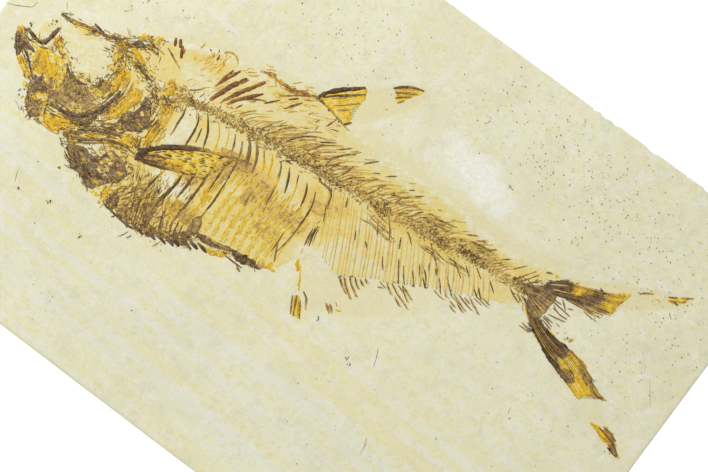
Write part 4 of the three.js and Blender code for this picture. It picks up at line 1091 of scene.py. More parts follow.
bones(
    "shoulder_bone", shoulder_bone, "shoulder_plate", slot="brown_bone",
    plates=[
        (0.86, 0.3, [(-104.6, -31), (-101, -29), (-98.4, -28.2), (-94.6, -29), (-91.4, -27.4), (-90.4, -25), (-89.4, -23),
                     (-86, -22.6), (-81, -24), (-78.6, -26), (-77.6, -29), (-79, -32.6), (-82, -35.2), (-84, -37.6),
                     (-86, -40.6), (-89, -41), (-93, -38.6), (-97, -36.6), (-102, -34.6), (-104.4, -33.4)],
         (4, 0.42, 0.6, [(-100, -31), (-94, -33)]),
         (2.2, 0.5, 0.7, [(-92, -26.6), (-89, -27)]),
         (1.6, 0.9, 0.7, [(-88.4, -24.4), (-86.6, -25.4)]),
         # these three white stains are painted glints of light on the polished bone
         (1.1, 1.2, 0.9, [(-88.4, -26.8), (-86.2, -27.6)]),
         (0.9, 1.2, 0.9, [(-90.4, -28.6), (-89.4, -29.4)]),
         (0.8, 1.2, 0.8, [(-86, -30), (-84.8, -30.6)]),
         (1.4, 0.12, 0.9, [(-90, -26), (-90.6, -30), (-93, -33.4)]),
         (1.2, 0.12, 0.8, [(-84.6, -25), (-83.6, -29), (-84.4, -32)]),
         (1.2, 0.14, 0.8, [(-103, -31.6), (-97, -34), (-91, -37)]),
         (2.4, 0.16, 0.9, [(-88, -34.6), (-84.6, -34.4), (-82.4, -32.6)]),
         # a white painted glint
         (1.0, 1.15, 0.8, [(-89.2, -31.4), (-87.6, -32.8)]),
         (0.8, 0.9, 0.7, [(-85.6, -33.4), (-84.4, -32.4)]),
         (1.2, 0.9, 0.6, [(-81.6, -28.6), (-79.6, -27.8)]),
         (2, 0.2, 0.8, [(-80.6, -33), (-79, -31.4)]),
         (1.6, 0.62, 0.6, [(-87, -37), (-84.6, -36.4)]),
         (2, 0.25, 0.7, [(-99, -29.4), (-92, -31)])),
        (0.6, 0.74, [(-82, -36), (-79.6, -35.4), (-78.8, -38), (-79, -42), (-81.6, -41.6), (-82.2, -38.6)]),
        (0.5, 0.82, [(-78.6, -30.4), (-75.4, -28.6), (-74, -31), (-75.6, -35), (-78.4, -34)]),
        (0.5, 0.85, [(-86.6, -40.8), (-82, -40.2), (-82, -41.8), (-86, -42)]),
    ],
    rays=[
        (0.8, 1.1, [(-104.4, -34.4, 0.3), (-102, -36, 0.2), (-98, -37.1, 0.25), (-94.6, -37.9, 0.3), (-91.4, -39.6, 0.35),
                    (-87.2, -41.7, 0.25)]),
        (0.7, 0.8, [(-109.4, -31.4, 0.4), (-107.6, -32.2, 0.35), (-106, -33.6, 0.4)]),
        (0.8, 1.2, [(-101, -30, 0.2), (-97, -30.4, 0.15), (-93.6, -30.8, 0.3)]),
        (0.8, 1.3, [(-88.8, -34.4, 0.1), (-86, -34.9, 0.08), (-83.4, -33.6, 0.15)]),
        (0.8, 1.0, [(-92.8, -38.2, 0.4), (-92.4, -39.2, 0.5)]),
        (1.3, 1.0, [(-79.6, -24.2, 0.35), (-78, -23.8, 0.3), (-76.2, -24.4, 0.35)]),
        (1.0, 1.0, [(-82, -22.4, 0.4), (-80.6, -24, 0.35)]),
    ],
    strewn=[([(-103, -32), (-95, -33), (-88, -36)], 6, 77, 3.4, 0.42, (0.05, 0.6), 9),
            ([(-93, -28), (-86, -28), (-80, -30)], 8, 91, 2.4, 0.42, (0.0, 0.8), 40),
            # white splinters here and in the next line: painted glints of light
            ([(-89, -26), (-86, -29), (-88, -32)], 3, 14, 1.4, 0.5, (1.1, 1.2), 20),
            ([(-84, -33), (-86, -35)], 2, 5, 1.2, 0.5, (1.1, 1.2), 20),
            ([(-104, -34), (-95, -37.6), (-87, -41.4)], 1.4, 28, 2.6, 0.4, (0.1, 0.5), 8),
            ([(-81, -37), (-79.6, -42)], 2.6, 16, 2.4, 0.4, (0.5, 0.9), 10)],
    lift=HEAD_LIFT, crumbled=[([(-95, -32), (-86, -30), (-80, -29)], 8, 130, 0.75, (0.0, 1.15)),
              # white crumbs: painted glints of light
              ([(-88, -26), (-86, -33), (-84, -33)], 3, 24, 0.9, (1.1, 1.2))],
)

# ---- the predorsal bones ----
# Nine splints between the skull and the back fin, some of them doubled or broken in two.

PREDORSALS = [
    ([(1.3, [(-95.2, 29.8, 0.25), (-94.2, 28.2, 0.2), (-93.4, 26.8, 0.35)]),
      (0.8, [(-95.4, 24.5, 0.45), (-93, 23.6, 0.3), (-91, 22.6, 0.5), (-86.4, 20.6, 0.7)])], []),
    ([(1.6, [(-93.3, 30.5, 0.3), (-92.3, 29, 0.2), (-91.3, 27.6, 0.3)]),
      (1.4, [(-91, 28.8, 0.35), (-89.8, 26.6, 0.2), (-88.5, 24.3, 0.25)]),
      (0.8, [(-89.6, 28.4, 0.6), (-88.8, 26.4, 0.5)])], []),
    ([], [(0.5, 0.78, [(-85.2, 29.6), (-84, 30.2), (-82.6, 28.6), (-83, 26.6), (-84.8, 26.8)])]),
    ([(0.9, [(-81.2, 34.4, 0.15), (-80.2, 34, 0.2)]), (0.8, [(-78, 36.4, 0.3), (-77.4, 35.4, 0.3)]),
      (0.9, [(-76.7, 34.8, 0.25), (-76.3, 33.4, 0.15), (-76.2, 32.2, 0.3)])],
     [(0.5, 0.78, [(-80, 34.4), (-78.6, 35.4), (-77.2, 33), (-77.4, 29.4), (-79, 28.8), (-79.6, 31.4)])]),
    ([(0.8, [(-75.6, 36.6, 0.7), (-74.2, 38.2, 0.6), (-71, 38.5, 0.7), (-68.4, 36.4, 0.7)])],
     [(0.5, 0.76, [(-74, 33.4), (-72.4, 33.8), (-71.6, 31), (-72, 28), (-73.6, 27.4), (-74, 30)])]),
    ([(1.1, [(-68.3, 33.2, 0.4), (-69.3, 29, 0.3), (-70.3, 25, 0.45)]),
      (1.4, [(-65.8, 34.6, 0.35), (-67.8, 30.4, 0.25), (-69.4, 26.8, 0.3), (-70.5, 23.4, 0.5)]),
      (0.7, [(-66.9, 33, 0.7), (-69, 28, 0.65)])], []),
    ([(1.9, [(-61.8, 33.8, 0.3), (-63.4, 30.6, 0.2), (-65.2, 27.4, 0.15), (-66.6, 23.6, 0.2), (-68, 20, 0.35), (-68.9, 17.6, 0.5)]),
      (0.8, [(-60.9, 33.8, 0.45), (-63.4, 29.4, 0.4)])], []),
    ([(1.8, [(-54.8, 37.2, 0.35), (-57.6, 32.6, 0.3), (-60, 28.6, 0.25), (-62, 25, 0.25), (-64.4, 20.4, 0.5)]),
      (0.6, [(-56.4, 36, 0.7), (-59.8, 30.2, 0.7)])], []),
    ([(1.5, [(-52.8, 32.6, 0.25), (-55.6, 29.4, 0.15), (-58, 26.6, 0.3), (-60.4, 23.6, 0.25), (-62.2, 20.4, 0.4)]),
      (0.7, [(-50, 31, 0.4), (-53, 29.6, 0.3), (-56.6, 27, 0.35), (-60, 24.4, 0.45)]),
      (0.6, [(-57, 24, 0.4), (-58.5, 21, 0.4)]), (0.5, [(-51, 25.5, 0.4), (-54, 22.5, 0.4), (-55.5, 20, 0.5)])], []),
]
RUST = [
    (0.0, srgb(74, 42, 20)),
    (0.25, srgb(116, 72, 34)),
    (0.5, srgb(160, 112, 50)),
    (0.75, srgb(222, 178, 56)),
    (0.95, srgb(228, 208, 124)),
    (1.2, srgb(228, 222, 190)),
]
splint_bone = bone_finish("brown splints", 0.22, 0.2, 0.5, tones=RUST)
for count, (lines, patches) in enumerate(PREDORSALS, 1):
    node = f"predorsal_{count:02d}"
    rays = [(width * 1.2, 0.8, [(x, y, tone + 0.06) for x, y, tone in line]) for width, line in lines]
    bones(f"{node}_splint", splint_bone, node, slot="brown_bone", plates=patches, rays=rays)

# ---- the backbone ----
# A granular khaki rope of some forty crushed vertebrae. Spines lean back above it, and below it in
# the tail a comb of fine yellow bones runs down to the base of the anal fin.

TRUNK_LINE = [(-82, 10.4), (-75, 12), (-70, 13.5), (-65, 15), (-60, 16), (-52, 16.6), (-45, 17.4),
              (-38, 18.4), (-30, 19.4), (-20, 20.8), (-10, 21.6), (-5, 22.2)]
TAIL_LINE = [(-4, 22.4), (4, 23.2), (12, 24), (20, 24.6), (30, 25.8), (38, 26.8), (48, 28.4), (57, 29.8),
             (65, 31), (73, 31.2), (80, 32)]
VERTEBRA_STEP = 3.9
column_finish = bone_finish("khaki backbone", 0.3, 0.3, 0.55, tones=KHAKI, crackle=0.8, shards=0.4)


def vertebrae(line, thickness, chance):
    """Ragged blocks set end to end along a line, thinner towards its end."""
    path = curve([(x, y, 0) for x, y in line], VERTEBRA_STEP)[:, :2]
    plates = []
    for count, ((ax, ay), (bx, by)) in enumerate(zip(path, path[1:])):
        long = math.dist((ax, ay), (bx, by))
        dx, dy = (bx - ax) / long, (by - ay) / long
        half = np.interp(count / len(path), [0, 1], thickness) / 2
        ends = [(0.12, 1), (0.5, 0.74), (0.9, 1), (0.9, -1), (0.5, -0.74), (0.12, -1)]
        outline = [
            (ax + dx * long * s - dy * half * t, ay + dy * long * s + dx * half * t)
            for s, t in ends
        ]
        plates.append((0.85, chance.uniform(0.42, 0.74), outline))
    return plates


chance = random.Random(42)
bones(
    "trunk_vertebrae_and_spines", column_finish, "trunk_vertebrae", slot="column_bone",
    plates=vertebrae(TRUNK_LINE, (3.4, 3.0), chance),
    rays=[
        (0.6, 0.7, [(-45.6, 20, 0.5), (-44, 22.4, 0.3), (-42.4, 25, 0.4)]),
        (0.7, 0.7, [(-42.5, 20, 0.4), (-40.4, 22, 0.3), (-38, 26, 0.25), (-35.6, 28.2, 0.3), (-33.6, 29.6, 0.5)]),
        (0.6, 0.6, [(-36.8, 22, 0.4), (-35.4, 24.6, 0.4), (-33.6, 27, 0.5)]),
        (0.6, 0.6, [(-41.6, 24.4, 0.7), (-38.6, 27.4, 0.55), (-35.6, 29.6, 0.7)]),
        (0.9, 0.8, [(-34.6, 20.8, 0.4), (-32.6, 24.4, 0.2), (-30.6, 27, 0.15), (-27.4, 29.9, 0.15), (-23, 32.6, 0.5)]),
        (0.6, 0.7, [(-36.6, 24.2, 0.6), (-33, 27, 0.4), (-28.6, 30.4, 0.5)]),
        (0.6, 0.7, [(-31.6, 25, 0.6), (-28, 27.6, 0.45), (-24, 30.6, 0.6)]),
        (0.8, 0.8, [(-24.4, 24.8, 0.3), (-22.6, 28, 0.2), (-20.4, 30.4, 0.2), (-17.4, 32.6, 0.3), (-13.8, 35.2, 0.5)]),
        (0.8, 0.8, [(-22.2, 30.6, 0.25), (-19.6, 32.6, 0.25), (-16.8, 34.4, 0.45)]),
        (0.6, 0.7, [(-27.6, 25.4, 0.6), (-24, 28.6, 0.45), (-20.4, 31, 0.6)]),
        (0.6, 0.7, [(-21.4, 26.4, 0.55), (-18, 28.8, 0.4), (-14.6, 31.2, 0.6)]),
        (0.8, 0.8, [(-15.2, 32.2, 0.3), (-12.8, 34.2, 0.25), (-10.2, 36.6, 0.4)]),
        (0.8, 0.8, [(-15.2, 20, 0.3), (-15.1, 24, 0.35), (-14.4, 28, 0.2), (-12.2, 31.2, 0.15), (-9.4, 34, 0.25), (-6.3, 37.4, 0.5)]),
        (0.8, 0.8, [(-13, 23.4, 0.25), (-11.8, 26.2, 0.15), (-10.4, 29.2, 0.4)]),
        (0.7, 0.8, [(-8, 24.4, 0.3), (-6.6, 26.6, 0.15), (-5.9, 28.8, 0.15), (-5.2, 31, 0.35)]),
        (0.6, 0.7, [(-11.4, 24.6, 0.5), (-8.8, 27, 0.4), (-5.4, 29.6, 0.6)]),
        (0.5, 0.7, [(-19.4, 25.2, 0.6), (-15.6, 27.4, 0.5), (-11.6, 29.6, 0.65)]),
        (0.9, 0.8, [(-15.2, 19.6, 0.3), (-12.6, 17.8, 0.2), (-8.4, 17.6, 0.25), (-5.8, 15.8, 0.3)]),
        (0.9, 0.8, [(-8.8, 18.2, 0.3), (-7.2, 17.4, 0.15), (-5.6, 15.6, 0.2), (-4.6, 12.6, 0.35), (-3.6, 10.6, 0.6)]),
    ],
    strewn=[
        (TRUNK_LINE, 3.2, 200, 2.2, 0.5, (0.15, 0.8), 26),
        (TRUNK_LINE, 3.0, 160, 1.6, 0.5, (0.15, 0.7), 24, 70),
        ([(-50, 16.8), (-30, 19.6), (-8, 22)], 3.4, 80, 2.6, 0.5, (0.05, 0.5), 30),
        ([(-50, 25), (-30, 30), (-8, 34)], 6, 40, 4, 0.4, (0.5, 0.8), 6, 24),
        ([(-44, 22), (-30, 24.6), (-8, 28)], 3, 50, 4, 0.45, (0.25, 0.7), 8, 30),
    ],
    lift=0.5,
    crumbled=[(TRUNK_LINE, 3.4, 420, 1.0, (0.3, 0.95)), ([(-60, 14.4), (-52, 15)], 1.4, 60, 0.6, (0.0, 0.35)),
              ([(-20, 21.6), (-6, 21)], 3.4, 110, 0.8, (0.1, 0.55)), ([(-34, 20), (-20, 22.6)], 3, 70, 1.1, (0.66, 0.88))],
)

# the fine bones under the tail's vertebrae: each leans back, and stops at the lower outline
LOWER_OUTLINE = [(-8, 4), (-2, 0), (6, -7), (13, -8.6), (17, -8.6), (22, -5.2), (26, -2.8), (30, -0.2), (34, 0.4),
                 (38, 3.2), (43, 6.2), (48, 8.8), (53, 11.2), (58, 13.2), (63, 15.6), (67, 18.2), (72, 19.2), (80, 23)]
outline_x, outline_y = zip(*LOWER_OUTLINE)
comb = []
for x in np.arange(-8.5, 66, 1.75):
    top = np.array([x, np.interp(x, *zip(*TAIL_LINE)) - chance.uniform(1.5, 4.5)])
    lean = np.array([0.46 + 0.0022 * x, -0.88])
    reach = 0
    while top[1] + lean[1] * reach > np.interp(top[0] + lean[0] * reach, outline_x, outline_y) + 0.4:
        reach += 0.5
    bow = np.array([0.5, 0.25]) * chance.uniform(0.2, 1)
    if reach > 4:
        tones = [chance.uniform(0.64, 0.9) for _ in range(3)]
        places = [top, top + lean * reach / 2 + bow, top + lean * reach]
        comb.append([(*place, tone) for place, tone in zip(places, tones)])

TAIL_SPINES = [
    [(-2.7, 34.2), (-0.6, 36.4), (1.7, 38.7)], [(7.4, 27.4), (8.2, 30), (9.6, 32.8)], [(7.5, 35.2), (9.2, 36.6), (11.3, 38.2)],
    [(13, 30.5), (14, 31.6), (15.2, 32.8)], [(13.6, 30.4), (16, 31.6), (18.6, 32.6), (21.4, 34.8)], [(17, 28.6), (17.5, 30.2), (18.2, 31.8)],
    [(18.6, 36.6), (20.6, 37.9)], [(21.8, 35.6), (23.4, 36.9), (25.2, 38.4)], [(21.8, 31), (23.2, 32.2), (24.1, 33.4)],
    [(24, 27.2), (26, 29), (27.2, 31.4), (28.8, 33)], [(33.8, 28.6), (35, 30.4), (36.8, 32.4)], [(40.9, 31.8), (42, 33.8)],
    [(43.2, 29.8), (44.6, 31), (46.2, 32.5)], [(48.3, 30.2), (49.4, 31.4), (50.8, 32.8)], [(-6.2, 22.6), (-3.4, 26.4), (1, 30)],
    [(33, 37.2), (34.4, 37.9)], [(-1.2, 26.6), (3, 30), (6, 33)], [(5, 24), (7.2, 27), (8, 28.8)], [(48.6, 36), (50.6, 37.4), (52.6, 38.4)],
    [(53, 36.2), (55, 37.6), (56.8, 38.2)], [(56.4, 31.8), (58.2, 34.2), (60, 36.2)], [(70.6, 32), (73, 33.4)],
    [(36.6, 26), (38, 29), (39.2, 30.6)], [(28, 22.4), (30, 21.6), (33, 19)], [(38.6, 24.6), (42, 21.8), (46.4, 18.2), (49, 15.2)],
    [(30, 30.6), (32, 32.4)], [(2, 33), (5, 35)], [(58, 35), (62, 38.4)], [(64, 33), (67, 35.4)], [(66, 36.4), (69, 38.8)],
]
HAEMAL_SPINES = [
    [(0.3, 19.2), (1.2, 17.2), (2.1, 15.4)], [(15.8, 19.3), (17.4, 16.8), (19.2, 13.8)], [(19.3, 21.8), (22, 19), (23.6, 16.4), (25.2, 14)],
    [(27.4, 19.2), (28.6, 17), (29.6, 15)], [(29, 14.7), (29.9, 15.3)], [(16.8, 9.3), (19, 7)], [(25.4, 9.2), (27.6, 6.2), (29.6, 4)],
    [(32, 11.6), (35, 7.2), (38, 3.2)], [(35.2, 10.4), (37.8, 7), (40.2, 4.3)], [(39, 11.6), (41.4, 8.8), (43.3, 6.2)],
    [(42.7, 5.9), (44, 6.2)], [(44.4, 11.4), (46.4, 9.6), (48, 8.3)], [(47.2, 8.4), (48.4, 8.8)], [(40, 15.2), (41.6, 12.8), (43.2, 10.4)],
    [(43, 14.4), (45.6, 11.8), (47.4, 9.4)], [(49.8, 15.2), (52, 13), (53.6, 10.9)], [(53, 11.2), (54.4, 10.4)], [(52, 17.7), (55, 15), (58.2, 12.4)],
    [(50.4, 24.7), (53.6, 22.6), (57.2, 20.3)], [(55.8, 25.7), (60.2, 22.3)], [(59.8, 27.7), (64, 24.9)], [(63.8, 20.2), (67.3, 17.8)],
    [(65.4, 21.6), (67, 19.8), (68.8, 18.4)], [(66.4, 27.1), (69, 25.3), (71.6, 23.4)], [(-5.2, 12.3), (-3.6, 8.8), (-1.4, 4.8)],
    [(43, 17.6), (45, 14.6)], [(46.4, 17.4), (48.4, 15)], [(10.8, 10.4), (13, 7)], [(75.6, 29.2), (78.6, 27.6), (82.2, 26.3)],
    [(79.4, 28.8), (83, 27.4)],
]
# three or four long scratches side by side, at five places along the tail
HATCHING = [(32, 43, 31.2, 4, 12), (12, 25, 16.4, 4, -8), (36, 47, 20.6, 3, 0), (48, 58, 22.8, 3, 0), (50, 66, 32.8, 4, 6)]
hatched = []
for first, last, height, lines, slope in HATCHING:
    rise = math.tan(math.radians(slope)) * (last - first)
    for line in range(lines):
        y = height + 0.85 * line
        begins, ends, sag = first + chance.uniform(-2, 2), last + chance.uniform(-3, 2), chance.uniform(-0.5, 0.5)
        middle = (begins + ends) / 2
        hatched.append((0.5, 0.6, [(begins, y, 0.45), (middle, y + rise / 2 + sag, 0.25), (ends, y + rise, 0.5)]))
TAIL_STEM_LINES = [
    [(76, 34.4), (78, 37.6), (80.4, 41)], [(79.6, 36.4), (80.8, 38.6), (82.2, 40.5)], [(75, 33.4), (77, 36)], [(78, 34.6), (80, 37.4)],
    [(82, 36.4), (84.4, 39.6)], [(72, 36), (76, 40.6)], [(80.6, 35), (83, 38.2)], [(76.6, 32.2), (77.6, 34.4)],
]

bones(
    "tail_vertebrae_and_spines", column_finish, "tail_vertebrae", slot="column_bone",
    plates=vertebrae(TAIL_LINE, (3.2, 2.0), chance),
    rays=[
        *[(0.75, 0.7, [(x, y, 0.25) for x, y in line]) for line in TAIL_SPINES],
        *[(0.75, 0.7, [(x, y, 0.2) for x, y in line]) for line in HAEMAL_SPINES],
        *[(0.6, 0.7, [(x, y, 0.3) for x, y in line]) for line in TAIL_STEM_LINES],
        *hatched,
    ],
    strewn=[
        (TAIL_LINE, 2.4, 170, 2.2, 0.5, (0.4, 0.9), 26),
        (TAIL_LINE, 2.0, 90, 1.6, 0.5, (0.3, 0.8), 24, 70),
        ([(-2, 30), (20, 32), (46, 35), (64, 37)], 6, 50, 4, 0.4, (0.5, 0.82), 7, 24),
        ([(-4, 26), (20, 28), (46, 31.6), (64, 33.6)], 3, 60, 3.4, 0.45, (0.25, 0.7), 9, 28),
        ([(54, 33.4), (60, 34), (66, 34)], 2.4, 14, 6, 0.42, (0.2, 0.6), 6, 0),
        ([(33, 32), (42, 34)], 2.4, 10, 6, 0.42, (0.3, 0.66), 6, 4),
        ([(38, 21.6), (44, 22)], 2, 7, 5, 0.4, (0.4, 0.7), 6, 0),
        ([(14, 17.4), (24, 17)], 2.4, 12, 5, 0.42, (0.3, 0.7), 7, -8),
        ([(50, 23.4), (57, 24)], 1.6, 7, 5, 0.4, (0.3, 0.66), 6, 0),
        ([(11, 24), (14, 26), (17, 24), (14, 21.6), (11, 24)], 1.4, 40, 1.6, 0.5, (0.0, 0.3), 60),
        ([(36, 27.6), (43, 27.4)], 2.4, 60, 2, 0.5, (0.05, 0.5), 80),
        ([(50, 30), (62, 30.4)], 1.8, 80, 2, 0.5, (0.0, 0.4), 70),
        ([(76, 32.4), (82, 34)], 2.6, 60, 2.4, 0.45, (0.05, 0.4), 30),
    ],
    lift=0.5,
    crumbled=[(TAIL_LINE, 2.6, 300, 1.0, (0.5, 0.98)), ([(-4, 23), (18, 24)], 3, 110, 0.8, (0.1, 0.5)),
              ([(20, 26), (34, 27)], 2.6, 70, 1.0, (0.6, 0.85)), ([(62, 31), (74, 31.4)], 2, 60, 1.0, (0.6, 0.85)),
              ([(34, 27.4), (44, 27.4)], 2.6, 140, 0.6, (0.05, 0.4)), ([(50, 29.6), (62, 30)], 2.0, 130, 0.6, (0.0, 0.3)),
              ([(80, 31), (86, 33)], 2.4, 70, 0.6, (0.05, 0.5))],
)

comb_bone = bone_finish("yellow bones of the comb", 0.2, 0.12, 0.55, tones=KHAKI, shards=0.1)
bones("comb_under_the_tail", comb_bone, slot="column_bone", rays=[(0.75, 0.55, line) for line in comb])

# The spines above the backbone lie back towards the tail, and get shorter along it.
spines = []
for x in np.arange(-60, 70, 1.55):
    foot = np.array([x, np.interp(x, *zip(*(TRUNK_LINE[:-1] + TAIL_LINE))) + 1.2])
    reach = np.interp(x, [-60, -42, -5, 30, 68], [11, 18, 17, 12, 7]) * chance.uniform(0.7, 1.1)
    start, end = [math.radians(angle + chance.uniform(-4, 4)) for angle in (56, 34)]
    middle = foot + np.array([math.cos(start), math.sin(start)]) * reach / 2
    tip = middle + np.array([math.cos(end), math.sin(end)]) * reach / 2
    tones = [chance.uniform(0.46, 0.76), chance.uniform(0.54, 0.82), chance.uniform(0.7, 0.92)]
    spines.append([(*place, tone) for place, tone in zip((foot, middle, tip), tones)])
bones("spines_over_the_backbone", comb_bone, slot="column_bone", rays=[(0.6, 0.6, line) for line in spines])

# ---- the ribs ----
# Thin brown rods from the backbone round the belly wall. Most are dark only near the top, and go
# on as faint yellow lines to the keel.

RIBS = [
    [(0.7, [(-79.6, 8.6, 0.4), (-78.4, 5, 0.6), (-77.6, 0, 0.75), (-77, -6, 0.8)]), (0.5, [(-77.8, 9, 0.4), (-76, 6.8, 0.5)])],
    [(0.8, [(-75, 9.8, 0.3), (-74, 6, 0.1), (-73.8, 2, 0.15), (-73.3, -1.5, 0.3), (-73.4, -3.6, 0.6)]), (0.5, [(-76.4, 9.6, 0.4), (-75.4, 6.4, 0.5)])],
    [(0.9, [(-69.4, 10.6, 0.2), (-67.4, 7.6, 0.1), (-66.4, 3, 0.08), (-66, -2.2, 0.2), (-66, -6, 0.6), (-66.2, -12, 0.8)]),
     (1.0, [(-67, -17.4, 0.5), (-67.5, -21, 0.12), (-68, -25, 0.1), (-68.3, -33, 0.5)]), (0.6, [(-70.6, 11, 0.4), (-68.6, 8, 0.5)])],
    [(0.9, [(-66, 12.4, 0.3), (-63.4, 9, 0.1), (-61.4, 6, 0.08), (-60.2, 2.6, 0.1), (-59.3, 0, 0.3)]),
     (1.5, [(-59.4, -11, 0.4), (-59.8, -14, 0.12), (-59.7, -19, 0.08), (-60.6, -26, 0.12), (-61.6, -33, 0.4), (-60.4, -38, 0.15), (-59, -41, 0.2)]),
     (0.7, [(-64.7, 6.4, 0.25), (-63.8, 3, 0.2), (-63.2, 0, 0.4)]), (0.6, [(-63.5, -22.6, 0.3), (-64, -27.6, 0.3)])],
    [(0.7, [(-60.6, 12.6, 0.5), (-57.4, 8.6, 0.7), (-55.4, 3, 0.7), (-55.2, -2, 0.8)]),
     (1.1, [(-55.8, -8, 0.3), (-55.7, -12, 0.15), (-55.6, -17, 0.1), (-55.9, -23, 0.3)]),
     (0.9, [(-56.8, -28.4, 0.4), (-56.2, -31.6, 0.15), (-55, -35, 0.15), (-54, -38.4, 0.3)])],
    [(0.6, [(-56.2, 13.8, 0.7), (-53.4, 9, 0.75), (-51.8, 4, 0.7), (-51.5, 0, 0.5)]),
     (1.2, [(-51.4, -3, 0.5), (-51.2, -8, 0.2), (-51, -15, 0.18), (-51.1, -22, 0.2), (-51.4, -28, 0.22), (-51.4, -34, 0.4)])],
    [(0.7, [(-52.2, 12.8, 0.3), (-50.4, 9.6, 0.2), (-49.2, 6.4, 0.4), (-48.4, 3, 0.6)]),
     (1.0, [(-47.9, 1, 0.4), (-47.6, -4, 0.15), (-47.3, -9, 0.12), (-46.9, -13.2, 0.2)]), (0.8, [(-46.8, -24.6, 0.4), (-46.6, -29.6, 0.4)])],
    [(0.9, [(-48.2, 12.2, 0.4), (-46.3, 8.6, 0.35), (-45, 4.6, 0.25), (-44.3, 0, 0.15), (-43.7, -4, 0.2)]),
     (0.8, [(-43.8, -3, 0.3), (-43.4, -8, 0.1), (-43, -14, 0.08), (-43.1, -19, 0.1), (-43.3, -23.4, 0.25)])],
    [(1.5, [(-47, 14.9, 0.35), (-44.8, 12.8, 0.3), (-43, 9.6, 0.25), (-41.8, 7, 0.25), (-41, 4, 0.4), (-40.6, 1.6, 0.6)])],
    [(1.2, [(-43.2, 15, 0.35), (-41, 12.6, 0.3), (-39.2, 9.8, 0.25), (-38.1, 7, 0.25), (-37.2, 3.8, 0.4)])],
    [(0.9, [(-39.4, 15, 0.4), (-37.3, 12.4, 0.45), (-35.4, 9.6, 0.65), (-34.2, 6, 0.75)]), (1.0, [(-32.8, -1.4, 0.5), (-32.4, -5, 0.35), (-31.4, -9.6, 0.25)])],
    [(0.9, [(-35, 15, 0.6), (-33, 11.8, 0.6), (-31.4, 7, 0.7)])],
    [(0.9, [(-30.6, 15, 0.5), (-29, 12.8, 0.25), (-27.8, 10, 0.3), (-26.8, 7, 0.8), (-26.1, 4, 0.35), (-25.4, 0, 0.2), (-25, -3, 0.4)])],
    [(0.9, [(-26.2, 15, 0.35), (-24.4, 12, 0.12), (-22.9, 8.8, 0.12), (-21.6, 5.2, 0.2)])],
    [(0.8, [(-21.4, 14.8, 0.25), (-20.6, 12.8, 0.2), (-19.6, 10.6, 0.7), (-18.4, 6, 0.75), (-17.4, 0, 0.75)])],
    [(0.8, [(-16.8, 14.2, 0.2), (-15, 11.4, 0.1), (-13.8, 8, 0.08), (-13, 4.6, 0.15)]), (0.7, [(-12.4, -7.6, 0.3), (-12, -12, 0.2), (-11.9, -17.4, 0.4)])],
    [(0.8, [(-11.8, 13.2, 0.2), (-10.2, 10, 0.1), (-9.2, 6, 0.1), (-8.7, 0, 0.15), (-8.7, -6, 0.25), (-9.1, -11, 0.3), (-9.9, -16, 0.4)]),
     (0.8, [(-12, -12, 0.4), (-10.2, -16, 0.3), (-8.2, -20, 0.3)])],
]
RIB_SPACING = [-79, -75, -67, -60.5, -56, -51.4, -47.2, -43.3, -39.4, -36, -32.2, -28.2, -24.2, -20.2, -16.4, -12.6, -9]
rib_finish = bone_finish("brown ribs", 0.16, 0.14, 0.5, shards=0.12)
for count, (x, lines) in enumerate(zip(RIB_SPACING, RIBS), 1):
    node = f"rib_{count:02d}"
    rays = [(width * 1.2, 0.7, [(x, y, tone + 0.08) for x, y, tone in line]) for width, line in lines]
    if count > 2:
        top = np.interp(count, [3, 17], [4, 6])
        low = np.interp(count, [3, 8, 17], [-34, -26, -19])
        rays.append((0.9, 0.5, [(x + 1.3, top, 0.85), (x + 0.8, -2, 0.8), (x + 0.3, (low - 6) / 2, 0.74), (x + 0.6, low, 0.8)]))
    bones(f"{node}_rod", rib_finish, node, slot="rib_bone", rays=rays)

# Amber bands between the ribs, on the lower half of the belly.
amber_skin = bone_finish("amber bands of the belly", 0.22, 0.15, 0.55, shards=0.12)
BELLY_BANDS = [-39.4, -36, -31.6, -28, -24.4, -20.2, -16.2, -12.8]
bands = []
for count, x in enumerate(BELLY_BANDS):
    bands.append(([(x, -8.4), (x + 0.1, -13), (x + 0.3, -19)], 1.2, 30, 3.0, 0.6, (0.8, 0.94), 3))
    bands.append(([(x + 0.3, -21.6), (x + 1.0, -26 + 0.45 * count)], 1.1, 18, 2.4, 0.6, (0.78, 0.94), 4))
    bands.append(([(x + 0.6, 4.4), (x + 0.2, -3.6)], 0.9, 7, 2.8, 0.5, (0.74, 0.92), 4))
bands += [([(x, 0), (x, -4)], 0.8, 7, 2.2, 0.45, (0.72, 0.9), 5) for x in (-42, -39.6, -37, -34.6)]
bands += [([(-48.4, -12.6), (-46.6, -18)], 2.0, 20, 3.0, 0.5, (0.64, 0.86), 6),
          ([(-45.6, -9), (-45, -18)], 1.0, 14, 3.0, 0.5, (0.68, 0.88), 5),
          ([(-30, -18), (-20.6, -17.4)], 1.4, 16, 1.6, 0.5, (0.62, 0.84), 10, 86),
          ([(-58, -8), (-50, -8)], 3, 20, 3.0, 0.45, (0.55, 0.86), 6, 90),
          ([(-56, -26), (-46, -27)], 4, 40, 3.0, 0.45, (0.5, 0.84), 8, 90)]
bones(
    "belly_bands", amber_skin, slot="scute_bone", strewn=bands,
    crumbled=[([(-44, -14), (-12, -14)], 10, 70, 0.55, (0.66, 0.9))],
)

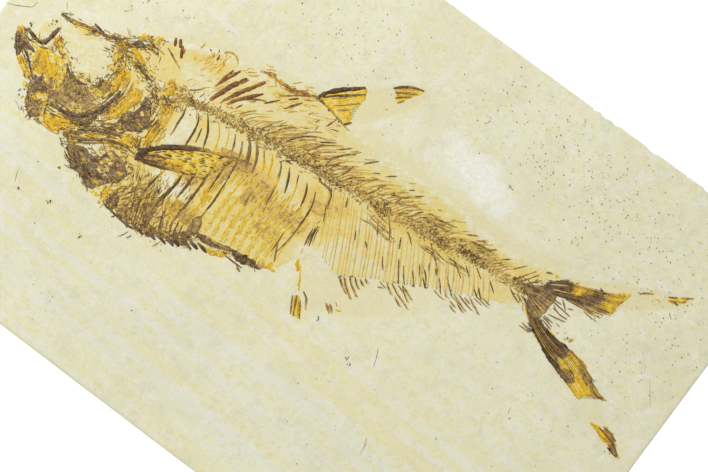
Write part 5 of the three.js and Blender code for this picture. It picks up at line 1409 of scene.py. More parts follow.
# Fine threads that cross two ways over the breast, in front of the keel.
bones(
    "crossed_threads_of_the_breast", column_finish, slot="scute_bone",
    strewn=[([(-76, -29), (-58, -31)], 7, 80, 4.4, 0.42, (0.1, 0.6), 7, -58),
            ([(-75, -34), (-58, -36)], 7, 80, 4.0, 0.42, (0.1, 0.6), 7, 62),
            ([(-76, -24), (-60, -24)], 5, 46, 3.6, 0.4, (0.4, 0.8), 9, -50),
            ([(-74, -31), (-58, -34)], 8, 90, 3.2, 0.45, (0.05, 0.5), 10, 88),
            ([(-72, -22), (-52, -20)], 5, 50, 2.8, 0.4, (0.3, 0.8), 10, 90)],
    crumbled=[([(-74, -30), (-60, -34), (-48, -30)], 9, 190, 0.65, (0.1, 0.7))],
)

# ---- the belly scutes ----
# A keel of bony plates along the belly. Its teeth point back; it is nearly black in front and in
# the middle, and amber below and behind.

scute_finish = bone_finish("dark belly scutes", 0.3, 0.25, 0.42, ash=0.4, shards=0.3)
bones(
    "keel_of_scutes", scute_finish, "belly_scutes", slot="scute_bone",
    plates=[
        (0.7, 0.26, [(-41, -29), (-38, -27.7), (-33, -26.9), (-29, -26.2), (-25, -25.4), (-21, -24.8), (-20.4, -26.6), (-24, -27.4),
                     (-28, -28.8), (-31.6, -30.5), (-35.4, -31.3), (-39.6, -30.9)], (1.2, 0.55, 0.6, [(-36, -28.2), (-27, -27)])),
        (0.7, 0.14, [(-25.6, -26.4), (-22, -25.2), (-20, -24.6), (-18.8, -23.2), (-17.6, -24.6), (-16.4, -24), (-15.2, -21.8), (-13.6, -24.4),
                     (-11, -26.1), (-14.4, -27.2), (-18, -28.4), (-22.4, -28.9)]),
        (0.5, 0.72, [(-36.4, -31.4), (-33, -31.2), (-30.4, -30.2), (-27.4, -28.4), (-25.4, -29.4), (-26.6, -31.6), (-30.4, -33), (-34, -33.9)],
         (1.4, 0.6, 0.7, [(-35, -32.6), (-31, -31.6)])),
        (0.5, 0.68, [(-13.6, -17), (-12, -18.4), (-11.2, -21), (-10.2, -23.6), (-10.4, -25), (-12.6, -25.4), (-13, -21.4)]),
        (0.5, 0.7, [(-9.6, -20.4), (-8.2, -20.4), (-7, -22), (-5.4, -23.3), (-8.4, -24), (-10.2, -24.4)]),
        (0.5, 0.66, [(-21, -16), (-19.8, -15), (-18.8, -18.4), (-18.4, -22), (-19.6, -23.6), (-21, -20.4)]),
        (0.5, 0.3, [(-45.4, -24), (-43.2, -22.4), (-41, -24.4), (-40, -27.4), (-40.6, -31), (-42.6, -34.6), (-44.8, -35), (-45.6, -30)],
         (1.6, 0.6, 0.6, [(-43.4, -25), (-42, -29)])),
        (0.6, 0.3, [(-49.6, -36.6), (-47.6, -33.6), (-45, -31.6), (-43, -33.4), (-40.6, -34.6), (-42.6, -37.2), (-46, -38.4), (-49, -39)],
         (1.0, 0.65, 0.6, [(-46, -34.4), (-44, -36.4)])),
        (0.6, 0.22, [(-61.4, -37), (-59.6, -35.6), (-58.4, -38), (-58.6, -41.8), (-61, -42.4)]),
        (0.6, 0.22, [(-56.4, -37.6), (-54.8, -36.8), (-53.6, -39.8), (-55, -41.2), (-57, -40.4)]),
        (0.5, 0.6, [(-58.4, -37), (-57, -36), (-56, -39), (-56.6, -41.4), (-58.4, -41.2)]),
        (0.5, 0.5, [(-53.4, -36.6), (-51, -35), (-49.4, -36), (-50, -38.6), (-53, -39.2)]),
        (0.6, 0.25, [(-78.6, -36.2), (-75.4, -35.8), (-73.4, -38), (-73.4, -42.2), (-76, -42), (-78.4, -41.4)], (0.8, 0.7, 0.6, [(-76.4, -37), (-76, -41)])),
        (0.6, 0.42, [(-72, -37), (-68.4, -37.4), (-66, -40), (-65.4, -43), (-69, -42.9), (-72.4, -42.4)], (1, 0.75, 0.6, [(-70, -38.6), (-69.4, -42)])),
    ],
    rays=[
        *[(1.5, 0.8, [(x - 5.4, y + 1.1, 0.4), (x - 2.6, y + 0.6, 0.16), (x, y, 0.08)]) for x, y in [
            (-58.0, -43), (-52.8, -41.7), (-48.4, -40.6), (-45.2, -39.3), (-43.3, -38.1), (-38.7, -36.1), (-36.5, -34.5), (-32.8, -33.4)]],
        *[(1.1, 0.7, [(x - 3.6, y + 1.4, 0.45), (x - 1.4, y + 0.6, 0.25), (x, y, 0.15)]) for x, y in [
            (-61.6, -42.8), (-65, -43.6), (-69, -43.4), (-73, -43.1), (-55.6, -42.4), (-50.6, -38.6), (-41.6, -33.4)]],
        (0.9, 0.7, [(-79, -42, 0.3), (-75, -42.8, 0.15), (-70, -43.4, 0.2), (-65, -43.8, 0.3), (-60, -43, 0.3)]),
        (0.7, 0.7, [(-25.6, -29.8, 0.2), (-21.6, -29.9, 0.1), (-17.4, -29.8, 0.3)]),
        (1.1, 0.5, [(-19.8, -30.2, 0.5), (-18.6, -31, 0.4), (-17, -31.6, 0.6)]),
        (0.6, 0.6, [(-50.6, -33.6, 0.2), (-50, -36, 0.15)]),
        *[(0.8, 0.7, line) for line in fan([(-71, -31, 0.6), (-68.6, -36, 0.3), (-66.6, -41, 0.4)],
                                           [(-60.4, -30, 0.5), (-59.6, -36, 0.2), (-58.4, -41.4, 0.3)], 8, 0.2, chance)],
        *[(0.8, 0.7, line) for line in fan([(-56, -31, 0.5), (-54.4, -35, 0.3), (-52.4, -38.4, 0.3)],
                                           [(-47.4, -29, 0.5), (-46.8, -33, 0.2), (-45.6, -36.4, 0.2)], 5, 0.2, chance)],
    ],
    strewn=[
        ([(-78, -40), (-66, -41), (-55, -39.6), (-46, -36.4), (-40, -33.4)], 3.0, 150, 2.2, 0.4, (0.05, 0.6), 25),
        ([(-40, -29.4), (-30, -28.6), (-22, -26.8), (-13, -25.6)], 1.4, 110, 1.5, 0.4, (0.0, 0.5), 60),
    ],
    crumbled=[([(-78, -39), (-66, -40.6), (-55, -39), (-46, -35.6), (-41, -31)], 3.4, 200, 0.6, (0.0, 0.7)),
              ([(-40, -29.4), (-30, -28.6), (-22, -26.8), (-13, -25.6)], 1.5, 170, 0.55, (0.0, 0.6))],
)

# Flesh that went brown between the ribs behind the breast fin.
bones(
    "brown_patches_of_the_belly", bone_finish("brown skin", 0.3, 0.2, 0.6, tones=KHAKI, shards=0.25), slot="rib_bone",
    plates=[
        (0.6, 0.58, [(-53.6, 5.2), (-48, 7), (-42, 7.6), (-37.6, 5.4), (-38, 2), (-42.6, 0.6), (-43.8, -4), (-46, -10), (-49, -9),
                     (-51, -6), (-51.4, 0)], (2, 0.8, 0.5, [(-50, -3), (-49.4, 3)])),
        (0.45, 0.62, [(-56.4, -23.4), (-53, -22), (-48.6, -23.6), (-46.4, -27), (-47.6, -30), (-52, -29.6), (-55.4, -29)]),
        (0.45, 0.68, [(-63, -12), (-60, -8.6), (-56, -8.4), (-52.6, -9.4), (-52.6, -15), (-57, -16.6), (-61.4, -15.6)]),
        (0.5, 0.6, [(-35.4, -2), (-32, -0.6), (-29.6, -4), (-30.8, -8.4), (-34.6, -9.4), (-36, -6)]),
        (0.5, 0.66, [(-33, 4), (-27, 4.6), (-24, 1), (-22, -3), (-23.4, -5.6), (-27, -5.4), (-29.4, -1)]),
        (0.5, 0.66, [(-20, 1), (-14, 2), (-7, 0), (-5, -3), (-8, -5.4), (-14, -5.4), (-18.4, -4)]),
        (0.5, 0.72, [(-26, -8.6), (-20, -9), (-14, -8.6), (-12.6, -12), (-14.6, -17), (-19, -15), (-24, -13)]),
        (0.5, 0.7, [(-12, 10), (-7, 12), (-2, 15), (1, 12), (-2, 7), (-7, 5), (-11, 6)]),
    ],
    strewn=[([(-34, 0), (-22, 0), (-8, -2)], 5, 90, 2.2, 0.35, (0.35, 0.75), 10, 90),
            ([(-26, -11), (-14, -12)], 5, 50, 2.2, 0.35, (0.4, 0.75), 10, 90),
            ([(-52, -1), (-45, 3), (-40, 4)], 4, 46, 1.8, 0.35, (0.2, 0.5), 90),
            ([(-60, -12), (-53, -12)], 4, 36, 1.6, 0.35, (0.3, 0.6), 90),
            ([(-54, -26), (-48, -26)], 4, 30, 1.6, 0.35, (0.3, 0.6), 90)],
)

# ---- the breast fin ----
# The paired fin of the breast, folded back over the ribs: a dark root and leading edge, then
# yellow rays that break up into short brown dashes.

fin_finish = bone_finish("fin rays", 0.26, 0.18, 0.48, shards=0.22)
chance = random.Random(7)
dashes = []
for line in fan([(-75, -12.4, 0), (-66, -6.6, 0), (-57, -1.2, 0), (-45, 4.6, 0)],
                [(-74, -18.6, 0), (-68, -15.6, 0), (-61, -13.4, 0), (-51, -9.6, 0)], 15, 0, chance):
    path = curve(line, 0.5)[:, :2]
    at = chance.randrange(3)
    while at < len(path) - 3:
        long = chance.randrange(3, 8)
        tone = chance.choice([0.1, 0.2, 0.3, 0.5, 0.66, 0.76])
        dash = path[at:at + long + 1:2]
        if len(dash) > 1:
            dashes.append((0.6, 1.2, [(x, y, tone) for x, y in dash]))
        at += long + chance.randrange(1, 6)
bones(
    "breast_fin_rays", fin_finish, "breast_fin", slot="fin_bone",
    plates=[
        (0.9, 0.86, [(-80, -17), (-77, -14), (-73, -10), (-68, -6.6), (-62, -2.8), (-57, -0.4), (-51, 1.8), (-51, -3), (-51.6, -8.4),
                     (-54, -10.6), (-60, -13.2), (-66, -15.4), (-72, -18.2), (-77, -20.2)],
         (2.4, 0.85, 0.6, [(-70, -12), (-60, -8)]), (5, 0.3, 0.8, [(-78, -17.6), (-73, -16)]),
         (3, 0.45, 0.7, [(-73, -16), (-66, -14), (-62, -12.6)])),
        (1.1, 0.14, [(-80.6, -16.6), (-78.4, -14), (-76, -12.4), (-75.4, -16), (-76.4, -19), (-79.4, -20.2)]),
    ],
    rays=[
        (2.6, 1.5, [(-80.6, -16.2, 0.15), (-77, -13.6, 0.1), (-73.6, -10.4, 0.08), (-69.6, -7.4, 0.1), (-65, -4.2, 0.2), (-60.6, -1.4, 0.3), (-56.6, 0.8, 0.5)]),
        (1.0, 1.5, [(-74, -9.2, 0.2), (-69.6, -6.2, 0.15), (-64.6, -2.8, 0.3), (-60, -0.6, 0.5)]),
        (1.3, 1.3, [(-62, -2.6, 0.3), (-58, -0.2, 0.5), (-54, 1.6, 0.6), (-49, 3.4, 0.45), (-44, 5.6, 0.4), (-39.4, 6.6, 0.4)]),
        (1.6, 1.3, [(-79, -19.4, 0.1), (-75.4, -18.6, 0.1), (-71.6, -17.6, 0.15), (-67.8, -16, 0.2), (-64.6, -14.6, 0.4), (-61, -13.4, 0.6)]),
        (0.8, 1.1, [(-66, -14.4, 0.3), (-62, -13, 0.4), (-57, -11.8, 0.5), (-52, -9.8, 0.55)]),
        (1.0, 1.2, [(-78, -17.4, 0.12), (-74, -14.6, 0.15), (-70, -12.4, 0.35), (-66, -10.6, 0.55)]),
        (0.9, 1.2, [(-77.6, -18.6, 0.15), (-73, -16.6, 0.2), (-69, -15, 0.4), (-64, -12.6, 0.6)]),
        *dashes,
    ],
)

# ---- the fins of the back and the belly ----
# Each is a spray of fine rays. The back fin's front is dark brown and the rest amber.

bones(
    "back_fin_rays", fin_finish, "back_fin", slot="fin_bone",
    plates=[
        (0.6, 0.84, [(-33.6, 45.4), (-29.4, 50.6), (-24.4, 56), (-20.4, 59.8), (-18.2, 57), (-18.2, 53), (-19.6, 49), (-18, 46), (-17.4, 42.6),
                     (-24, 42.8), (-30, 44.2)], (1.4, 0.9, 0.7, [(-29, 47), (-21, 56)]), (1.4, 0.9, 0.6, [(-22, 45), (-19, 46.4)])),
    ],
    rays=[
        (2.0, 0.9, [(-34, 45.2, 0.15), (-32, 48.8, 0.12), (-28, 53.2, 0.1), (-24, 56.6, 0.15), (-20.6, 59.6, 0.25)]),
        (1.5, 0.8, [(-32.4, 46, 0.2), (-28.6, 49.6, 0.12), (-25, 52.4, 0.2), (-22, 55, 0.35), (-19, 57.4, 0.4)]),
        (1.0, 0.7, [(-30.4, 46.8, 0.45), (-26, 50.4, 0.5), (-21.6, 54.6, 0.5)]),
        (1.1, 0.7, [(-26.6, 46.2, 0.4), (-22.4, 49.6, 0.4), (-18.6, 53.2, 0.45)]),
        (0.8, 0.7, [(-25.2, 44.4, 0.5), (-22, 47.2, 0.45), (-19.4, 49.6, 0.55)]),
        *[(0.5, 0.6, line) for line in fan([(-32, 46.2, 0.6), (-26, 51.4, 0.66), (-19.6, 58.6, 0.7)],
                                           [(-21, 43.4, 0.8), (-19.4, 44.6, 0.84), (-17.6, 46.4, 0.86)], 12, 0.2, chance)],
        (0.9, 0.8, [(-19.2, 41.8, 0.15), (-18.2, 43, 0.15), (-16.8, 44.8, 0.35)]),
        (0.8, 0.7, [(-35, 44.4, 0.3), (-29, 44, 0.4), (-24, 43.2, 0.5), (-18.6, 41.9, 0.5), (-15.6, 41.4, 0.7)]),
    ],
    crumbled=[([(-35, 44.6), (-31, 44.6)], 0.8, 16, 0.9, (0.1, 0.4)), ([(-27.6, 44), (-26.6, 43.4)], 0.8, 8, 0.8, (0.1, 0.4)),
              ([(-24.2, 43), (-18.4, 42.2)], 0.9, 16, 0.7, (0.1, 0.5))],
)
bones(
    "back_fin_tip_rays", fin_finish, "back_fin_tip", slot="fin_bone",
    plates=[(0.5, 0.88, [(-11.2, 66.6), (-7.6, 70), (-2, 73), (-0.2, 72.2), (-1.4, 69.4), (-4, 66.6), (-5.6, 62.4), (-8.4, 63.4), (-8, 65.4)])],
    rays=[
        (1.5, 0.8, [(-11.4, 66.3, 0.3), (-8, 69.4, 0.2), (-4.6, 71.4, 0.3), (-0.6, 72.8, 0.4)]),
        (1.2, 0.7, [(-9.8, 65.4, 0.35), (-6.6, 67.4, 0.3), (-2, 70, 0.5)]),
        (1.0, 0.7, [(-8.4, 63.4, 0.35), (-6.4, 65.4, 0.35), (-3.2, 67.8, 0.5)]),
        (0.8, 0.7, [(-6.6, 62.4, 0.45), (-4.8, 64.8, 0.45)]),
        *[(0.4, 0.6, line) for line in fan([(-10.6, 66.6, 0.4), (-6, 70.8, 0.5), (-1.4, 72.8, 0.5)],
                                           [(-8, 64, 0.6), (-5, 66.2, 0.6), (-3, 68.4, 0.6)], 8, 0.2, chance)],
    ],
)
bones(
    "pelvic_fin_rays", fin_finish, "pelvic_fin", slot="fin_bone",
    plates=[(0.4, 0.72, [(-1.8, -11), (-0.6, -10.8), (-0.2, -13), (2.2, -16.4), (1.6, -17.4), (-0.6, -15.8), (-1.4, -14)],
             (0.7, 0.5, 0.7, [(0.2, -15), (1.8, -16.8)]))],
    rays=[
        (0.8, 0.8, [(-3.6, 0.6, 0.3), (-3.1, -3, 0.2), (-2.3, -7.2, 0.3)]),
        (0.8, 0.8, [(-2.6, 2.4, 0.3), (-1.9, -2, 0.15), (-0.6, -6.3, 0.3)]),
        (0.5, 0.7, [(-3, 1.4, 0.35), (-2.4, -2.6, 0.3), (-1.4, -6.4, 0.5)]),
        (0.6, 0.6, [(-2, 3, 0.5), (-1.2, -1, 0.4), (0, -5, 0.6)]),
        (0.9, 0.5, [(-2.2, -7.6, 0.8), (-1.6, -10.6, 0.75)]),
        (0.7, 0.5, [(2, -16, 0.7), (4, -18.6, 0.78), (5.4, -21, 0.74), (6.8, -23.4, 0.8)]),
        (0.6, 0.4, [(1, -14, 0.84), (3.6, -18.4, 0.84), (5.4, -22, 0.84)]),
    ],
)
bones(
    "pelvic_fin_tip_rays", fin_finish, "pelvic_fin_tip", slot="fin_bone",
    plates=[(0.3, 0.82, [(6, -25.6), (8, -25), (10.4, -26), (12.4, -28.6), (14, -31.6), (13.2, -32.6), (11, -33.2), (9.4, -33), (7.8, -29.8)])],
    rays=[
        (0.7, 0.8, [(6, -26.3, 0.35), (7.6, -29.4, 0.3), (9.8, -33, 0.4)]),
        (0.7, 0.8, [(7.4, -25.3, 0.4), (9, -28.6, 0.3), (11.2, -33.2, 0.4)]),
        (0.7, 0.8, [(9.8, -26.2, 0.35), (11.8, -29.6, 0.3), (13.9, -32.5, 0.5)]),
        (0.9, 0.8, [(8.6, -22.5, 0.25), (11.2, -24, 0.3), (12.4, -26, 0.6), (13.7, -28, 0.74)]),
        (0.5, 0.6, [(7, -26, 0.6), (9.6, -30.6, 0.55)]), (0.5, 0.6, [(9, -26.4, 0.6), (12.4, -32, 0.55)]),
    ],
)
ANAL_FINS = {
    "anal_fin_front": [[(16.6, -8.6), (19, -10.6), (23.2, -12.9)], [(18.4, -7.8), (21, -10.2), (25.8, -13.6)], [(20.1, -6.2), (22.6, -8.6), (27.2, -11.3)],
                       [(22.1, -5.2), (24, -7), (26.3, -8.3)], [(24.2, -4.6), (26.7, -6.1)], [(25.8, -3.2), (27.4, -4.4)], [(20.2, -6.2), (21.2, -5.4)],
                       [(16.6, -9.4), (17.4, -8)]],
    "anal_fin_middle": [[(31.3, -0.6), (34.2, -1.4)], [(31.8, -2.9), (33.6, -2)], [(33.8, 0.9), (35.6, -0.6), (38.2, -2.2)],
                        [(35.8, 1.6), (40, -0.4), (45, -2.1), (47.2, -3)], [(38.2, 2.7), (42.2, 1.3)], [(39.6, 3.7), (42, 1.6), (45.2, -0.6)],
                        [(35.4, 2.5), (36.6, 2.9)], [(39.8, -2), (43.7, -4)], [(40, 3.6), (43, 2.4), (46, 1)]],
    "anal_fin_rear": [[(51.2, 9.9), (53.4, 9.2), (56.4, 9)], [(55.2, 12.2), (56, 11), (57.4, 10.5)], [(58.6, 13.4), (62, 12), (66.4, 10.5)],
                      [(57.6, 12.4), (60.4, 11.8), (63.4, 11.3)], [(60.6, 14.3), (64, 13.2), (68.4, 12.3)], [(64.6, 16.2), (67.4, 14.6), (70.4, 13.3)],
                      [(66.4, 17), (70.2, 16.4)], [(66.8, 18.1), (70, 17.6), (72.8, 17.2)], [(69.2, 19.1), (72.8, 18.3)], [(60, 8.6), (63, 7.6)],
                      [(59, 10.2), (62, 9.2)], [(62, 11), (66, 9.4)], [(63, 14.8), (66, 14)], [(68.4, 14.4), (71.6, 12.6)]],
}
for node, lines in ANAL_FINS.items():
    width = 0.8 if node == "anal_fin_front" else 0.5
    rays = [(width, 0.8, [(x, y, 0.1 + 0.18 * step) for step, (x, y) in enumerate(line)]) for line in lines]
    faint = [(0.6, 0.4, [(x + 0.8, y + 0.1, 0.76 + 0.08 * step) for step, (x, y) in enumerate(line)]) for line in lines]
    bones(f"{node}_rays", column_finish, node, slot="fin_bone", rays=rays + faint)
bones(
    "anal_fin_tip_rays", fin_finish, "anal_fin_tip", slot="fin_bone",
    rays=[
        (1.1, 0.8, [(18.8, -20.8, 0.5), (20.6, -22, 0.45), (22.5, -23.5, 0.7)]),
        (1.1, 0.8, [(20.3, -20.2, 0.6), (22, -21.4, 0.5), (23.2, -22.8, 0.7)]),
        (0.8, 0.7, [(21.8, -18.1, 0.6), (23.2, -19.2, 0.7)]), (1.0, 0.6, [(23.6, -20.6, 0.76), (25.6, -19.9, 0.8)]),
        (0.9, 0.6, [(20, -21.4, 0.66), (22, -22.8, 0.66)]),
    ],
)

# ---- the tail ----
# A fan of bones at the end of the backbone, and two lobes of rays: dark brown with pale streaks
# at the root, amber towards the tips, with a stretch missing in each.

tail_finish = bone_finish("dark tail rays", 0.14, 0.22, 0.42, ash=0.4, shards=0.2, fibres=0.16, grain_turn=-20)
root_finish = bone_finish("grey tail root", 0.2, 0.3, 0.3, ash=0.5, tones=KHAKI, shards=0.3, fibres=0.2)
bones(
    "tail_root_plates", root_finish, "tail_root", slot="column_bone",
    plates=[
        (0.8, 0.4, [(80, 33), (83, 35.4), (87, 37.8), (91, 38.2), (93.4, 37), (93.6, 33), (93.2, 29), (92.8, 26), (90, 24.4), (86.6, 26.4),
                    (83.4, 28.6), (81, 30.4)],
         (2.4, 0.2, 0.8, [(82, 34.6), (87, 37.6), (91, 38)]), (2.4, 0.2, 0.8, [(83, 29.4), (88, 26), (91.4, 25)]),
         # the whitish stain at (82.8, 30) is a painted gloss highlight
         (1.2, 0.62, 0.6, [(84, 31), (92.6, 29.4)]), (1.4, 1.2, 0.9, [(82.8, 30), (84, 29.2)]), (1, 0.62, 0.6, [(86, 33.6), (92.6, 33.2)])),
    ],
    rays=[
        *[(0.7, 1.1, line) for line in fan([(83, 34, 0.25), (87, 35.8, 0.25), (92.8, 36.6, 0.3)],
                                           [(83, 30, 0.25), (87, 27.8, 0.2), (92, 25.4, 0.25)], 8, 0.15, chance)],
        *[(0.65, 0.8, line) for line in (
            [(93, 36, 0.25), (96.6, 36.2, 0.3)], [(93.2, 35.2, 0.2), (98, 34.7, 0.2), (102.4, 34.3, 0.25)],
            [(94.2, 34.2, 0.3), (96, 33, 0.25), (99, 32.4, 0.3), (102, 32.7, 0.4)], [(94.6, 29.7, 0.3), (98, 30.4, 0.25), (102.2, 31.4, 0.35)],
            [(93.4, 28.3, 0.3), (98.2, 28, 0.35)], [(93.4, 27.5, 0.2), (96, 27.3, 0.2), (98.8, 26.5, 0.3)], [(94, 26.6, 0.3), (99.2, 25.4, 0.4)],
            [(95.8, 38.2, 0.35), (99.4, 35.2, 0.3)], [(99.7, 36.4, 0.3), (101.8, 37.4, 0.5)], [(99.5, 28.7, 0.3), (101.3, 28.5, 0.3)],
            [(87.8, 19, 0.5), (90, 19.2, 0.4), (92.6, 19, 0.5)], [(88, 20.7, 0.5), (93.2, 19.8, 0.4)], [(90, 20.2, 0.5), (93, 19.4, 0.4)])],
    ],
    strewn=[([(80, 33), (86, 37), (92, 38)], 1.6, 50, 2.2, 0.45, (0.05, 0.4), 12), ([(82, 30), (87, 27), (92, 25)], 1.6, 50, 2.2, 0.45, (0.05, 0.4), 12)],
    crumbled=[([(80, 32), (86, 33.6), (92, 33)], 3.4, 150, 0.6, (0.05, 0.6))],
)
bones(
    "tail_upper_lobe_rays", tail_finish, "tail_upper_lobe", slot="fin_bone",
    plates=[
        (0.7, 0.2, [(86, 38), (87.6, 41.4), (91, 44.6), (95, 46.6), (96.8, 45), (97.4, 42.6), (100.4, 43.6), (103.4, 46), (104.6, 49.6), (107.2, 51),
                    (109.6, 51.2), (110.4, 48), (107.6, 45.6), (104.6, 42.4), (99, 40.2), (94, 38), (90, 37)]),
        (0.95, 0.74, [(96.4, 41.6), (97, 45.4), (99, 47), (101, 48), (104.4, 49), (105, 47.4), (103, 45.4), (99.6, 42.6)],
         (1.2, 0.3, 0.7, [(99.4, 47.4), (103, 47.6)])),
        (0.8, 0.78, [(107.6, 50.2), (109.6, 52), (113, 54.2), (116.9, 56.8), (117.3, 54), (116, 50.8), (115.6, 47.6), (116, 45.6), (113, 45.2),
                     (110.4, 46.2), (109.4, 48)],
         (1.4, 0.45, 0.7, [(111.6, 48.8), (116, 51.4)]), (1.2, 0.4, 0.7, [(110, 50.6), (115.4, 54)]),
         (1.6, 0.62, 0.7, [(112.6, 46), (115.6, 47.4)])),
        (0.3, 0.8, [(83.6, 43), (86, 44.8), (90, 45.2), (89, 43.4), (86.4, 42)]),
    ],
    rays=[
        *[(0.55, 0.9, line) for line in fan(
            [(88, 41, 0.15), (93, 45, 0.2), (98, 46.8, 0.76), (103, 48.6, 0.5), (108, 50.6, 0.3), (112, 52.8, 0.76), (116.8, 55.8, 0.7)],
            [(93, 38, 0.15), (97, 39.4, 0.15), (101, 41, 0.2), (104, 42.2, 0.25), (108, 43.2, 0.3), (111, 43.8, 0.5), (115.6, 44.6, 0.6)],
            11, 0.12, chance)],
        (0.6, 0.7, [(98, 40.4, 0.35), (104, 40.8, 0.4), (108, 41, 0.45), (112.4, 41, 0.5)]),
        (0.5, 0.7, [(99, 39.6, 0.6), (105, 40, 0.55), (111, 40.4, 0.6)]),
        *[(0.5, 0.8, line) for line in fan([(102, 42.4, 0.2), (108, 44.6, 0.3), (116.4, 47.6, 0.6)],
                                           [(97, 39, 0.3), (104, 40, 0.4), (112, 41.4, 0.6)], 6, 0.3, chance)],
        *[(0.6, 0.6, line) for line in fan([(104, 43.2, 0.8), (110, 44.6, 0.86), (115.6, 45.8, 0.8)],
                                           [(102, 41, 0.8), (108, 42, 0.84), (113, 43, 0.8)], 3, 0.3, chance)],
        (0.5, 0.7, [(105.6, 39.3, 0.4), (109, 39.1, 0.4), (112.2, 39.1, 0.5)]),
        (0.9, 0.7, [(83.8, 42.9, 0.4), (85, 43.8, 0.4), (86.4, 44.2, 0.6)]),
        (0.6, 0.8, [(88, 40, 1.0), (92, 42.6, 0.95), (95, 44.4, 0.9)]), (0.6, 0.8, [(89, 38.6, 0.9), (94, 40.8, 0.85), (98, 42.4, 0.8)]),
        (0.9, 0.6, [(119.9, 58.8, 0.3), (121.2, 60.2, 0.25), (122.6, 61.1, 0.5), (124.4, 62.3, 0.8)]),
        (0.8, 0.5, [(126.2, 60.7, 0.8), (127.8, 61.4, 0.85)]),
    ],
    strewn=[([(104.6, 46.6), (109, 49.4)], 2.6, 40, 1.6, 0.5, (0.05, 0.4), 30), ([(87, 39), (95, 44)], 3, 40, 2.6, 0.4, (0.05, 0.4), 8)],
    crumbled=[([(84, 37), (92, 41)], 2.6, 60, 0.5, (0.05, 0.5))],
)
bones(
    "tail_upper_tip_rays", fin_finish, "tail_upper_tip", slot="fin_bone",
    plates=[(0.3, 0.84, [(129.8, 64.4), (133, 67), (138.6, 70.4), (136.6, 67), (135, 64), (131, 63)])],
    rays=[
        (0.9, 0.8, [(130, 64.7, 0.4), (131.6, 65.6, 0.3), (133.2, 66.8, 0.5)]), (0.9, 0.8, [(134.4, 67.4, 0.5), (136.4, 68.8, 0.5), (138.6, 70.3, 0.7)]),
        (0.9, 0.8, [(131, 63.8, 0.5), (133.4, 64.6, 0.35), (135.2, 64.2, 0.4)]), (0.7, 0.7, [(133, 65.2, 0.6), (135.6, 66.2, 0.5), (137, 67.6, 0.6)]),
    ],
)
